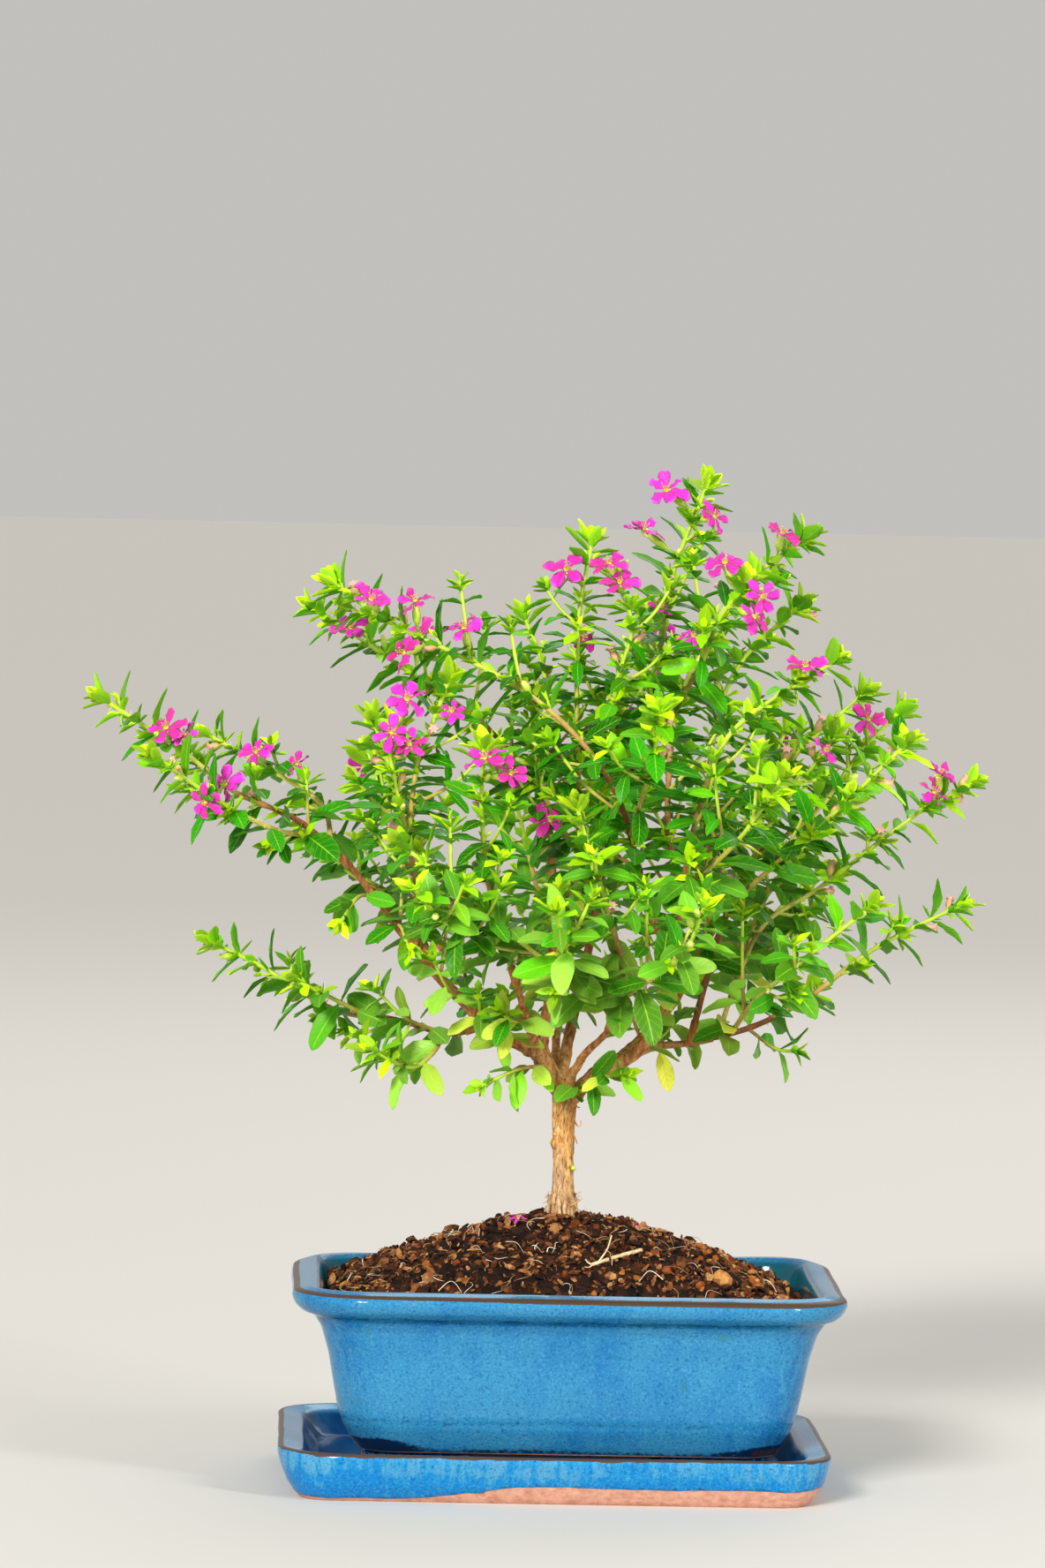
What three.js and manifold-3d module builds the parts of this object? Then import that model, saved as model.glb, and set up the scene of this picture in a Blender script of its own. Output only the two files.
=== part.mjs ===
// Cuphea (false heather) bonsai in a glazed rectangular pot on its saucer.
// Millimetres, +Z up. The origin is the centre of the saucer's flat underside,
// the front of the tree faces -Y and +X is to the right.

import * as THREE from 'three';
import { mergeVertices } from 'three/addons/utils/BufferGeometryUtils.js';
import Module from 'manifold-3d';

const wasm = await Module();
wasm.setup();

// Driving dimensions
const GAP = 0.3;                  // clearance between pieces that rest on or stand in each other
const POT_LENGTH = 150;           // over the rim
const POT_WIDTH = 110;
const POT_SHIFT = 3.5;            // the pot stands a little right of the saucer's centre
const POT_UNDERSIDE = 11.5;
const POT_FLOOR = 16.5;           // top of the pot's floor
const SAUCER_LENGTH = 148.5;
const SAUCER_WIDTH = 110;
const SAUCER_FLOOR = 5;
const CORNER_STEPS = 4;           // facets in each rounded corner
const FOOT_LENGTH = 29;
const FOOT_DEPTH = 21;
const FOOT_WALL = 10;
const DRAIN_RADIUS = 5;
const DRAIN_OFFSET = 28;          // each drain hole from the pot's centre
const SCREEN_SIZE = 19;
const SCREEN_THICKNESS = 1;
const SCREEN_HOLES = 3;           // along each side
const SCREEN_HOLE = 4;
const TRUNK_X = 2;
const TRUNK_FOOT = 52;            // the trunk's lower end, inside the soil
const TRUNK_HOLE_RADIUS = 5;
const STUB = 5;                   // woody start of each leafy shoot
const MAIN_STEM_RADIUS = 1.1;
const SIDE_STEM_RADIUS = 0.85;
const STEM_TIP_RADIUS = 0.6;
const STEM_STEP = 13;
const LEAF_LENGTH = 14.5;         // at the foot of a shoot
const TIP_LEAF_LENGTH = 9.5;
const SMALL_LEAF = 11.5;          // shorter leaves have a plain outline
const LEAF_ASPECT = 0.36;         // width over length
const LEAF_KEEL = 0.9;            // thickness at the midrib
const LEAF_SPACING = 7;           // between leaf pairs at the foot of a shoot
const TIP_SPACING = 4.8;
const PETALS = 6;
const CALYX_RADIUS = 1.2;
const MOUTH_DEPTH = 2;            // from the bloom's face down to the calyx
const LIGHT_DEPTH = 70;           // how far behind the trunk the blooms turn away from

const vec = (x, y, z) => new THREE.Vector3(x, y, z);
const UP = vec(0, 0, 1);
const mix = (a, b, t) => a + (b - a) * t;

// The same draw on every run: a linear congruential generator
function seeded(seed) {
  let state = seed;
  return () => {
    state = (state * 1664525 + 1013904223) % 4294967296;
    return state / 4294967296;
  };
}

function solidOf(geometry) {
  const bare = geometry.clone();
  bare.deleteAttribute('normal');
  bare.deleteAttribute('uv');
  const merged = mergeVertices(bare, 1e-4);
  return new wasm.Manifold(new wasm.Mesh({
    numProp: 3,
    vertProperties: new Float32Array(merged.attributes.position.array),
    triVerts: new Uint32Array(merged.index.array),
  }));
}

function geometryOf(solid) {
  const mesh = solid.getMesh();
  const geometry = new THREE.BufferGeometry();
  geometry.setAttribute('position', new THREE.BufferAttribute(mesh.vertProperties, 3));
  geometry.setIndex(new THREE.BufferAttribute(mesh.triVerts, 1));
  geometry.computeVertexNormals();
  return geometry;
}

// The outermost shell of a joined solid: a sealed hollow is filled and a scrap dropped
function oneBody(parts) {
  const shells = wasm.Manifold.union(parts).decompose();
  return shells.reduce((best, shell) => (shell.volume() > best.volume() ? shell : best));
}

function surface(points, index) {
  const geometry = new THREE.BufferGeometry();
  geometry.setAttribute('position', new THREE.Float32BufferAttribute(points.flatMap((p) => p.toArray()), 3));
  geometry.setIndex(index);
  return geometry;
}

// A closed skin over rings of points that run counter-clockwise about the way they travel.
// Either end is a flat cap, or a point where one is given.
function skin(rings, { from, to } = {}) {
  const sides = rings[0].length;
  const points = rings.flat();
  const last = points.length - sides;
  const index = [];
  for (let low = 0; low < last; low += sides) {
    const high = low + sides;
    for (let i = 0; i < sides; i += 1) {
      const next = (i + 1) % sides;
      index.push(low + i, low + next, high + next, low + i, high + next, high + i);
    }
  }
  const close = (end, ring, flip) => {
    if (end) points.push(end);
    const hub = end ? points.length - 1 : ring;
    for (let i = end ? 0 : 1; i < (end ? sides : sides - 1); i += 1) {
      const pair = [ring + i, ring + ((i + 1) % sides)];
      index.push(hub, ...(flip ? pair.reverse() : pair));
    }
  };
  close(from, 0, true);
  close(to, last, false);
  return surface(points, index);
}

// One level of a tray: a rectangle with rounded corners at height z, about x = centre
function roundedRing(halfX, halfY, radius, z, centre) {
  const ring = [];
  const corners = [[1, 1], [-1, 1], [-1, -1], [1, -1]];
  corners.forEach(([sx, sy], quarter) => {
    for (let i = 0; i <= CORNER_STEPS; i += 1) {
      const angle = (quarter + i / CORNER_STEPS) * Math.PI / 2;
      const x = centre + sx * (halfX - radius) + radius * Math.cos(angle);
      const y = sy * (halfY - radius) + radius * Math.sin(angle);
      ring.push(vec(x, y, z));
    }
  });
  return ring;
}

function prism(halfX, halfY, radius, low, high, centre) {
  return solidOf(skin([
    roundedRing(halfX, halfY, radius, low, centre),
    roundedRing(halfX, halfY, radius, high, centre),
  ]));
}

function box(width, depth, low, high, x = 0, y = 0) {
  const geometry = new THREE.BoxGeometry(width, depth, high - low);
  geometry.translate(x, y, (low + high) / 2);
  return solidOf(geometry);
}

function cylinder(radius, low, high, x, sides) {
  const geometry = new THREE.CylinderGeometry(radius, radius, high - low, sides);
  geometry.rotateX(Math.PI / 2);
  geometry.translate(x, 0, (low + high) / 2);
  return solidOf(geometry);
}

// Saucer: a shallow tray with rounded flared walls and a sloping flat lip.
// Each level gives how far it lies inside the rim, its corner radius and its height.
function saucer() {
  const levels = [
    [6.4, 8, 0], [5, 9.5, 1.2], [2.7, 12.5, 4.5], [1, 15.5, 8.6], [0.1, 18, 11.6], [0, 18.5, 12.6],
    [0.8, 18, 13.4], [6.5, 12.5, 12.2], [9, 10, 8.5], [11.5, 9, SAUCER_FLOOR + 0.5], [14, 8, SAUCER_FLOOR],
  ];
  return solidOf(skin(levels.map(([inset, radius, z]) => (
    roundedRing(SAUCER_LENGTH / 2 - inset, SAUCER_WIDTH / 2 - inset, radius, z, 0)
  ))));
}

// Levels of the pot's inner wall, from its rim down to the floor: inset, corner radius, height
const POT_INSIDE = [[7, 12, 56], [8.4, 11, 54.5], [12, 10, 40], [16, 9, 20], [19, 8, POT_FLOOR]];

function potRing([inset, radius, z]) {
  return roundedRing(POT_LENGTH / 2 - inset, POT_WIDTH / 2 - inset, radius, z, POT_SHIFT);
}

// Pot: a tray with a shallow groove above its foot and a thick rolled lip, on four corner feet
function pot() {
  const outside = [
    [19, 11, POT_UNDERSIDE], [17.5, 12, 13.5], [13.8, 13, 20], [12, 13, 29],
    [10.3, 13.5, 38], [8.2, 14.5, 45], [6, 16, 48.4], [3.2, 19, 49.2], [1, 22, 51], [0, 23, 53.4],
    [0.4, 23, 54.6], [1.4, 22, 55.2], [5.6, 13.5, 56.2],
  ];
  const shell = solidOf(skin([...outside, ...POT_INSIDE].map(potRing)));
  const footHalfX = POT_LENGTH / 2 - 20.5;
  const footHalfY = POT_WIDTH / 2 - 20.5;
  const footLow = SAUCER_FLOOR + GAP;
  const below = footLow - 1;
  const feet = prism(footHalfX, footHalfY, 10, footLow, POT_UNDERSIDE + 1, POT_SHIFT)
    .subtract(prism(footHalfX - FOOT_WALL, footHalfY - FOOT_WALL, 6, below, POT_UNDERSIDE, POT_SHIFT))
    .subtract(box(2 * (footHalfX - FOOT_LENGTH), POT_WIDTH, below, POT_UNDERSIDE, POT_SHIFT))
    .subtract(box(POT_LENGTH, 2 * (footHalfY - FOOT_DEPTH), below, POT_UNDERSIDE, POT_SHIFT));
  let body = shell.add(feet);
  for (const side of [-1, 1]) {
    const x = POT_SHIFT + side * DRAIN_OFFSET;
    body = body.subtract(cylinder(DRAIN_RADIUS, POT_UNDERSIDE - 2, POT_FLOOR + 1, x, 16));
  }
  return body;
}

// Drain screen: a square of plastic mesh over a drain hole
function drainScreen(x) {
  const low = POT_FLOOR + GAP;
  let screen = box(SCREEN_SIZE, SCREEN_SIZE, low, low + SCREEN_THICKNESS, x);
  const pitch = (SCREEN_SIZE - 1) / SCREEN_HOLES;
  const first = -pitch * (SCREEN_HOLES - 1) / 2;
  for (let i = 0; i < SCREEN_HOLES; i += 1) {
    for (let j = 0; j < SCREEN_HOLES; j += 1) {
      const hole = box(SCREEN_HOLE, SCREEN_HOLE, low - 1, low + 3, x + first + i * pitch, first + j * pitch);
      screen = screen.subtract(hole);
    }
  }
  return screen;
}

// Soil: it fills the pot, mounds up to the trunk and carries coarse granules
function soil() {
  const random = seeded(41);
  const clear = 0.4;
  const walls = [...POT_INSIDE].reverse().slice(0, 3).map(([inset, radius, z]) => (
    potRing([inset + clear, radius, Math.max(z, POT_FLOOR + GAP)])
  ));
  // From the wall in to the trunk: share of the way out, and height. The right end lies lower.
  const mound = [[1, 51], [0.9, 54.6], [0.76, 59.2], [0.58, 63.6], [0.4, 67.6], [0.24, 71], [0.12, 73.2]];
  const fall = (x) => 1.6 * THREE.MathUtils.smoothstep(x, 30, 62);
  const edgeX = POT_LENGTH / 2 - 10.2;
  const edgeY = POT_WIDTH / 2 - 10.2;
  const top = mound.map(([share, height]) => {
    const centre = mix(TRUNK_X, POT_SHIFT, share);
    const radius = edgeY * share * mix(0.98, 0.24, share * share);
    const ring = roundedRing(edgeX * share, edgeY * share, radius, height, centre);
    const lump = share < 1 ? 1.5 : 0;
    return ring.map((p) => vec(p.x, p.y, p.z - fall(p.x) + lump * (random() - 0.5)));
  });
  const granules = Array.from({ length: 16 }, () => {
    const share = 0.25 + 0.6 * Math.sqrt(random());
    const angle = 2 * Math.PI * random();
    const radius = 1.8 + 1.4 * random();
    const stone = new THREE.OctahedronGeometry(radius);
    stone.scale(1, 0.8, 0.7);
    stone.rotateZ(Math.PI * random());
    const x = TRUNK_X + (edgeX - 4) * share * Math.cos(angle);
    const y = (edgeY - 4) * share * Math.sin(angle);
    stone.translate(x, y, 75 - 20 * share - fall(x));
    return solidOf(stone);
  });
  let body = solidOf(skin([...walls, ...top])).subtract(
    cylinder(TRUNK_HOLE_RADIUS, TRUNK_FOOT - GAP, 90, TRUNK_X, 16),
  );
  for (const side of [-1, 1]) {
    const recess = SCREEN_SIZE + 2 * GAP;
    const roof = POT_FLOOR + 2 * GAP + SCREEN_THICKNESS;
    body = body.subtract(box(recess, recess, POT_FLOOR, roof, POT_SHIFT + side * DRAIN_OFFSET));
  }
  return oneBody([body, ...granules]);
}

// A path through points chosen by hand, with a frame that never twists. side is level and
// square to the path's chord, made square to the path itself.
class Path {
  constructor(points) {
    this.curve = new THREE.CatmullRomCurve3(points.map((p) => vec(...p)), false, 'catmullrom', 0.5);
    this.length = this.curve.getLength();
    const chord = this.curve.points.at(-1).clone().sub(this.curve.points[0]);
    this.level = chord.cross(UP).normalize();
  }

  at(distance) {
    const share = THREE.MathUtils.clamp(distance / this.length, 0, 1);
    const tangent = this.curve.getTangentAt(share);
    const side = this.level.clone().addScaledVector(tangent, -this.level.dot(tangent)).normalize();
    const other = tangent.clone().cross(side);
    return { point: this.curve.getPointAt(share), tangent, side, other };
  }

  nearest(target) {
    const steps = Math.ceil(this.length);
    let best = 0;
    for (let i = 0; i <= steps; i += 1) {
      const here = (i / steps) * this.length;
      if (this.at(here).point.distanceTo(target) < this.at(best).point.distanceTo(target)) best = here;
    }
    return best;
  }
}

function ringAbout({ point, side, other }, radius, sides) {
  return Array.from({ length: sides }, (_, k) => {
    const angle = 2 * Math.PI * k / sides;
    const p = point.clone().addScaledVector(side, radius * Math.cos(angle));
    return p.addScaledVector(other, radius * Math.sin(angle));
  });
}

// A stem along a path from one distance to another, with a radius for each end
function stem(path, [from, to], [base, tip], sides, step) {
  const steps = Math.ceil((to - from) / step);
  return solidOf(skin(Array.from({ length: steps + 1 }, (_, i) => (
    ringAbout(path.at(mix(from, to, i / steps)), mix(base, tip, i / steps), sides)
  ))));
}

// Woody framework: where each branch runs, with its radius at both ends
const BRANCHES = {
  left: {
    route: [[2, 0, 104], [-6, -3, 117], [-20, -9, 125], [-40, -18, 146], [-58, -22, 168]],
    radii: [2.3, 0.8],
  },
  centre: { route: [[1, 0, 108], [-4, 4, 118], [-2, 9, 136], [-2, 11, 163]], radii: [1.9, 0.8] },
  centre_back: { route: [[1, 1, 107], [3, 12, 119], [7, 22, 136], [14, 34, 172]], radii: [1.8, 0.8] },
  right: {
    route: [[2, 0, 103], [11, -2, 112], [21, -5, 118], [28, -11, 130], [30, -16, 140], [25, -22, 153]],
    radii: [2.3, 0.8],
  },
  right_low: { route: [[18, -4, 116], [26, 0, 119], [36, 4, 120]], radii: [1.6, 0.8] },
  right_back: { route: [[10, -1, 111], [24, 14, 121], [35, 26, 133], [43, 34, 148]], radii: [1.7, 0.8] },
  left_back: { route: [[-8, -4, 118], [-17, 12, 122], [-27, 26, 135], [-34, 34, 146]], radii: [1.6, 0.8] },
  front: { route: [[2, -1, 105], [5, -18, 116], [12, -34, 126]], radii: [1.5, 0.8] },
  front_left: { route: [[-5, -3, 115], [-9, -22, 126], [-13, -38, 138]], radii: [1.5, 0.8] },
  back: { route: [[1, 2, 108], [0, 22, 116], [3, 42, 129]], radii: [1.6, 0.8] },
  cut_peg: { route: [[-35, -16, 141], [-37, -16, 145], [-39, -15, 150]], radii: [1.3, 1.2] },
};
const BRANCH_STEP = 18;

// Leafy sprays: the first shoot of each grows from a branch, the others from the first
const SPRAYS = {
  far_left: [
    [[-58, -22, 168], [-72, -26, 180], [-90, -30, 188], [-103, -32, 198], [-125, -34, 212]],
    [[-66, -25, 176], [-78, -36, 178], [-92, -45, 185], [-110, -54, 197]],
    [[-63, -24, 173], [-66, -16, 184], [-80, -8, 193], [-97, -6, 202]],
  ],
  low_left: [
    [[-20, -9, 125], [-30, -4, 122], [-44, 2, 125], [-61, 8, 127], [-81, 12, 138], [-96, 12, 145]],
    [[-31, -4, 122], [-35, -16, 117], [-41, -22, 114], [-51, -28, 119]],
    [[-52, 5, 126], [-62, -4, 131], [-72, -8, 136]],
  ],
  left_mid: [
    [[-40, -18, 146], [-40, -28, 162], [-44, -34, 181], [-48, -37, 198], [-47, -38, 206]],
    [[-43, -32, 175], [-41, -36, 195], [-36, -38, 210], [-33, -38, 219]],
  ],
  upper_left: [
    [
      [25, -22, 153], [19, -26, 171], [14, -30, 187], [5, -32, 201], [-9, -30, 214], [-27, -26, 224],
      [-49, -22, 234], [-64, -20, 244],
    ],
    [[17, -28, 178], [20, -44, 192], [22, -58, 205], [22, -66, 213]],
  ],
  left_back_high: [
    [[-2, 11, 163], [-5, 13, 184], [-20, 10, 204], [-43, 4, 220], [-69, -2, 237]],
    [[-5, 13, 186], [-4, 20, 210], [-7, 25, 226], [-11, 26, 235]],
  ],
  leader: [
    [[-2, 10, 148], [4, 2, 170], [4, 0, 188], [3, 0, 212], [3, 0, 236], [6, 0, 256]],
    [[4, 2, 172], [-5, -8, 186], [-9, -14, 200], [-9, -18, 212]],
  ],
  top: [
    [[14, 34, 172], [21, 28, 199], [26, 24, 221], [29, 22, 246], [38, 18, 272]],
    [[16, 32, 180], [14, 12, 196], [13, -8, 217], [17, -12, 233], [13, -12, 246]],
    [[17, 31, 184], [22, 52, 202], [24, 64, 222], [27, 70, 237]],
  ],
  right_leader: [
    [[30, -16, 140], [32, -8, 160], [28, -8, 182], [30, 0, 210], [36, 4, 225], [46, 8, 243], [65, 10, 259]],
    [[31, 2, 213], [36, -10, 224], [40, -18, 236], [47, -22, 246]],
  ],
  right_high: [
    [[43, 34, 148], [41, 30, 172], [42, 24, 204], [49, 24, 224], [65, 26, 240]],
    [[42, 31, 166], [54, 36, 182], [66, 34, 199], [84, 34, 216]],
    [[42, 32, 160], [50, 52, 172], [58, 67, 188], [65, 76, 203]],
  ],
  right_front: [
    [[28, -19, 147], [31, -27, 158], [33, -36, 178], [40, -39, 202], [50, -38, 213], [70, -36, 226]],
    [[32, -31, 166], [38, -44, 171], [46, -57, 181], [55, -66, 196]],
  ],
  right_mid: [
    [[36, 4, 120], [43, -2, 150], [50, -7, 168], [57, -10, 183], [66, -15, 196], [72, -18, 206]],
    [[46, -5, 158], [60, -22, 174], [73, -33, 187], [90, -40, 205]],
    [[52, -8, 172], [68, -6, 184], [80, -1, 200], [91, 2, 212]],
  ],
  right_reach: [
    [[36, 4, 120], [53, 2, 125], [68, 4, 133], [87, 8, 147], [110, 10, 159]],
    [[44, 4, 122], [50, 10, 140], [57, 14, 153], [72, 16, 163], [97, 14, 183], [112, 12, 192]],
    [[47, 3, 123], [52, -16, 133], [62, -32, 144], [81, -42, 161]],
    [[50, 10, 140], [56, 26, 156], [66, 38, 170], [80, 46, 184]],
  ],
  front: [
    [[12, -34, 126], [15, -48, 140], [11, -59, 157], [5, -66, 174], [1, -69, 187]],
    [[14, -41, 132], [6, -48, 138], [-8, -58, 147], [-22, -64, 159], [-45, -62, 176]],
    [[14, -44, 136], [22, -62, 142], [30, -78, 151], [34, -89, 163]],
    [[0, -52, 142], [0, -65, 145], [-2, -77, 151], [-5, -88, 161]],
  ],
  front_left: [
    [[-13, -38, 138], [-21, -56, 163], [-24, -64, 185], [-24, -69, 202]],
    [[-16, -46, 149], [-27, -62, 153], [-35, -74, 158], [-42, -84, 166]],
  ],
  back: [
    [[3, 42, 129], [-3, 60, 152], [-9, 76, 176], [-15, 88, 198]],
    [[1, 49, 138], [12, 60, 160], [18, 76, 188], [20, 86, 212]],
    [[2, 46, 135], [4, 70, 144], [8, 86, 156], [11, 98, 171]],
  ],
  back_left: [
    [[-34, 34, 146], [-40, 48, 165], [-47, 59, 180], [-53, 66, 196]],
    [[-36, 39, 153], [-46, 50, 157], [-58, 60, 163], [-70, 66, 172]],
    [[-36, 40, 154], [-40, 32, 172], [-46, 30, 190], [-52, 30, 206]],
  ],
  back_right: [
    [[35, 26, 133], [50, 47, 142], [62, 62, 152], [76, 76, 165]],
    [[44, 39, 138], [42, 60, 150], [42, 76, 164], [44, 88, 180]],
  ],
};

// Open blooms: the spray and shoot that each grows from, the centre of its face and its radius.
// Blooms that touch share one entry.
const BLOOMS = {
  top_crown: [['top', 0, [27, 16, 271], 6]],
  top_side: [['top', 0, [40, 10, 264], 5.2]],
  top_left: [['top', 0, [21, 18, 260], 6]],
  top_low: [['top', 0, [26, 14, 239], 4.6]],
  top_back: [['top', 2, [29, 79, 233], 6]],
  centre_pair: [['top', 1, [10, -20, 251], 5.8], ['top', 1, [13, -21, 246], 5.4]],
  leader_high: [['leader', 0, [-1, -8, 249], 6]],
  leader_mid: [['leader', 0, [4, -9, 231], 4.6]],
  leader_front: [['leader', 1, [-4, -12, 181], 5.6]],
  right_leader_tip: [['right_leader', 0, [58, 1, 260], 5.4]],
  right_leader_front: [['right_leader', 1, [41, -25, 252], 6]],
  right_leader_low: [['right_leader', 1, [33, -23, 232], 4.2]],
  right_leader_pair: [['right_leader', 1, [51, -30, 243], 5.4], ['right_leader', 1, [49, -30, 237.5], 5]],
  upper_left_tip: [['upper_left', 0, [-54, -30, 240], 6]],
  upper_left_side: [['upper_left', 0, [-42, -27, 240], 5.2]],
  upper_left_low: [['upper_left', 0, [-45, -33, 226], 5.8]],
  upper_left_mid: [['upper_left', 0, [-29, -33, 233], 5.4]],
  left_high: [['left_back_high', 0, [-59, -10, 232], 5.6]],
  left_high_back: [['left_back_high', 0, [-40, 8, 230], 5.6]],
  inner_left: [['left_back_high', 0, [-12, 3, 194], 5]],
  left_mid_large: [['left_mid', 0, [-44, -43, 214], 6.2]],
  left_mid_pair: [['left_mid', 1, [-48, -47, 205], 5], ['left_mid', 1, [-43, -47, 202], 4.6]],
  left_mid_side: [['left_mid', 1, [-32, -45, 211], 4.2]],
  far_left_pair: [['far_left', 0, [-108, -41, 205], 6], ['far_left', 0, [-103, -41, 203], 4.8]],
  far_left_low: [['far_left', 0, [-92, -39, 190], 5.6]],
  far_left_edge: [['far_left', 1, [-97, -57, 186], 5]],
  far_left_back: [['far_left', 2, [-84, -16, 198], 5.6]],
  far_left_inner: [['far_left', 2, [-73, -18, 195], 4.6]],
  front_pair: [['front_left', 0, [-24, -77, 200], 6], ['front_left', 0, [-17, -76, 196], 4.8]],
  right_front_tip: [['right_front', 0, [62, -45, 225], 6]],
  right_mid_tip: [['right_mid', 2, [82, -8, 210], 5.4]],
  right_mid_face: [['right_mid', 0, [69, -27, 202], 5.6]],
  right_reach_pair: [['right_reach', 1, [103, 6, 195], 5.6], ['right_reach', 1, [101.5, 4, 190], 5]],
  back_right_high: [['right_high', 2, [67, 85, 198], 6]],
  back_high: [['back', 1, [20, 95, 207], 6]],
  back_left_high: [['back_left', 0, [-54, 75, 191], 6]],
  back_low: [['back_right', 1, [46, 96, 174], 5.6]],
};

function branch({ route, radii }) {
  const path = new Path(route);
  return stem(path, [0, path.length], radii, 5, BRANCH_STEP);
}

// Trunk: a fluted foot that flares into its roots, a slim waist and a swollen fork.
// Each level gives the height, the radius and how deep the flutes are.
function trunkPost() {
  const levels = [
    [TRUNK_FOOT, 4.2, 0], [73, 3.8, 0.07], [77, 3.2, 0.1], [83, 3, 0.08],
    [93, 2.9, 0.05], [104, 3.4, 0.08], [110, 2.4, 0.03],
  ];
  const sides = 10;
  return solidOf(skin(levels.map(([z, radius, flute]) => Array.from({ length: sides }, (_, k) => {
    const angle = 2 * Math.PI * k / sides;
    const r = radius * (1 + flute * Math.cos(4 * angle + z / 9));
    return vec(TRUNK_X + r * Math.cos(angle), r * Math.sin(angle), z);
  }))));
}

// Leaves are tried against what already stands near them, apart from the stem they grow on
const placed = [];

function keep(solid, carrier = null) {
  const { min, max } = solid.boundingBox();
  const bounds = new THREE.Box3(vec(...min), vec(...max));
  placed.push({ carrier, solid, bounds });
  return solid;
}

function isClear(solid, carrier) {
  const { min, max } = solid.boundingBox();
  const bounds = new THREE.Box3(vec(...min), vec(...max)).expandByScalar(GAP);
  return placed.every((other) => (
    other.carrier === carrier
    || !other.bounds.intersectsBox(bounds)
    || solid.minGap(other.solid, 1) > GAP
  ));
}

// A leaf: a keeled blade that starts inside its stem. It sags, the more the steeper it rises, and bends down.
function leafSolid(shoot, leaf) {
  const { point, tangent, side, other } = shoot.path.at(leaf.distance);
  const radial = side.clone().multiplyScalar(Math.cos(leaf.azimuth));
  radial.addScaledVector(other, Math.sin(leaf.azimuth));
  const along = tangent.clone().multiplyScalar(Math.cos(leaf.spread));
  along.addScaledVector(radial, Math.sin(leaf.spread));
  along.z -= leaf.sag * (0.2 + 0.6 * Math.max(0, along.z));
  along.normalize();
  const face = tangent.clone().multiplyScalar(Math.sin(leaf.spread));
  face.addScaledVector(radial, -Math.cos(leaf.spread)).addScaledVector(UP, 0.9);
  face.addScaledVector(along, -face.dot(along)).normalize();
  const across = face.clone().cross(along);
  const half = leaf.width / 2;
  const spine = (t) => point.clone()
    .addScaledVector(along, leaf.length * t)
    .addScaledVector(face, -leaf.droop * leaf.length * t * t);
  const whole = [[0.32, half * 0.94, LEAF_KEEL], [0.7, half * 0.9, 0.75]];
  const small = [[0.48, half, LEAF_KEEL]];
  const rings = (leaf.length > SMALL_LEAF ? whole : small).map(([t, reach, keel]) => [
    spine(t).addScaledVector(across, reach),
    spine(t).addScaledVector(across, -reach),
    spine(t).addScaledVector(face, -keel),
  ]);
  return solidOf(skin(rings, { from: spine(-0.03), to: spine(1) }));
}

// Leaves stand in crossed pairs, closer and smaller towards the tip, and end in a small tuft.
// Four leaves in fifteen are built, which spaces them evenly round the stem.
function leavesOf(shoot, seed) {
  const random = seeded(seed);
  const leaves = [];
  const grow = (distance, azimuth, share, shorten, upright) => {
    const turn = azimuth + (random() - 0.5) * 0.5;
    const spread = mix(1.3, 0.85, share) * upright + (random() - 0.5) * 0.28;
    const length = mix(LEAF_LENGTH, TIP_LEAF_LENGTH, share * share) * (0.85 + 0.3 * random()) * shorten;
    const droop = (0.12 + 0.24 * random()) * (1 - 0.6 * share);
    const sag = 1 - share * share;
    leaves.push({ distance, azimuth: turn, spread, length, width: length * LEAF_ASPECT, droop, sag });
  };
  let distance = shoot.start + 5;
  for (let pair = 0; distance < shoot.path.length - 3; pair += 1) {
    const share = distance / shoot.path.length;
    for (const side of [0, 1]) {
      grow(distance, (pair / 2 + side) * Math.PI, share, 1, 1);
      if (![0, 4, 7, 11].includes((2 * pair + side) % 15)) leaves.pop();
    }
    distance += mix(LEAF_SPACING, TIP_SPACING, share);
  }
  for (const side of [0, 1]) grow(shoot.path.length - 1 - side, side * Math.PI, 1, 0.85, 0.65);
  return leaves;
}

// A leaf that would cross another piece is turned about its stem or shortened, or left out
function clearLeaf(shoot, leaf) {
  for (const [turn, shorten] of [[0, 1], [0.45, 1], [-0.45, 1], [0, 0.75], [0.9, 0.9], [-0.9, 0.9]]) {
    const tried = { ...leaf, azimuth: leaf.azimuth + turn, length: leaf.length * shorten };
    const solid = leafSolid(shoot, tried);
    if (isClear(solid, shoot)) return keep(solid, leaf.distance > shoot.path.length - 3 ? shoot : null);
  }
  return null;
}

// A bloom's stalk starts on its shoot, a little below it. The bloom turns from the stalk's line
// up and out towards the light, which comes from the front.
function bloomAxis(path, at) {
  const face = vec(...at);
  const foot = path.at(path.nearest(face) - 4).point;
  const stalk = face.clone().sub(foot).normalize();
  const light = vec(face.x - TRUNK_X, face.y - LIGHT_DEPTH, 0).normalize();
  const axis = stalk.multiplyScalar(0.45).addScaledVector(light, 0.75).addScaledVector(UP, 0.5).normalize();
  return { foot, face, axis };
}

// Stalk and calyx tube, from the stem's middle to the mouth just behind the petals
function calyx(path, at) {
  const { foot, face, axis } = bloomAxis(path, at);
  const mouth = face.clone().addScaledVector(axis, -MOUTH_DEPTH);
  const tube = new Path([foot.toArray(), mouth.toArray()]);
  const [low, high] = [[0.5, 0.9], [1, 1]].map(([share, swell]) => (
    ringAbout(tube.at(share * tube.length), swell * CALYX_RADIUS, 3)
  ));
  return solidOf(skin([low, high], { from: foot }));
}

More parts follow.
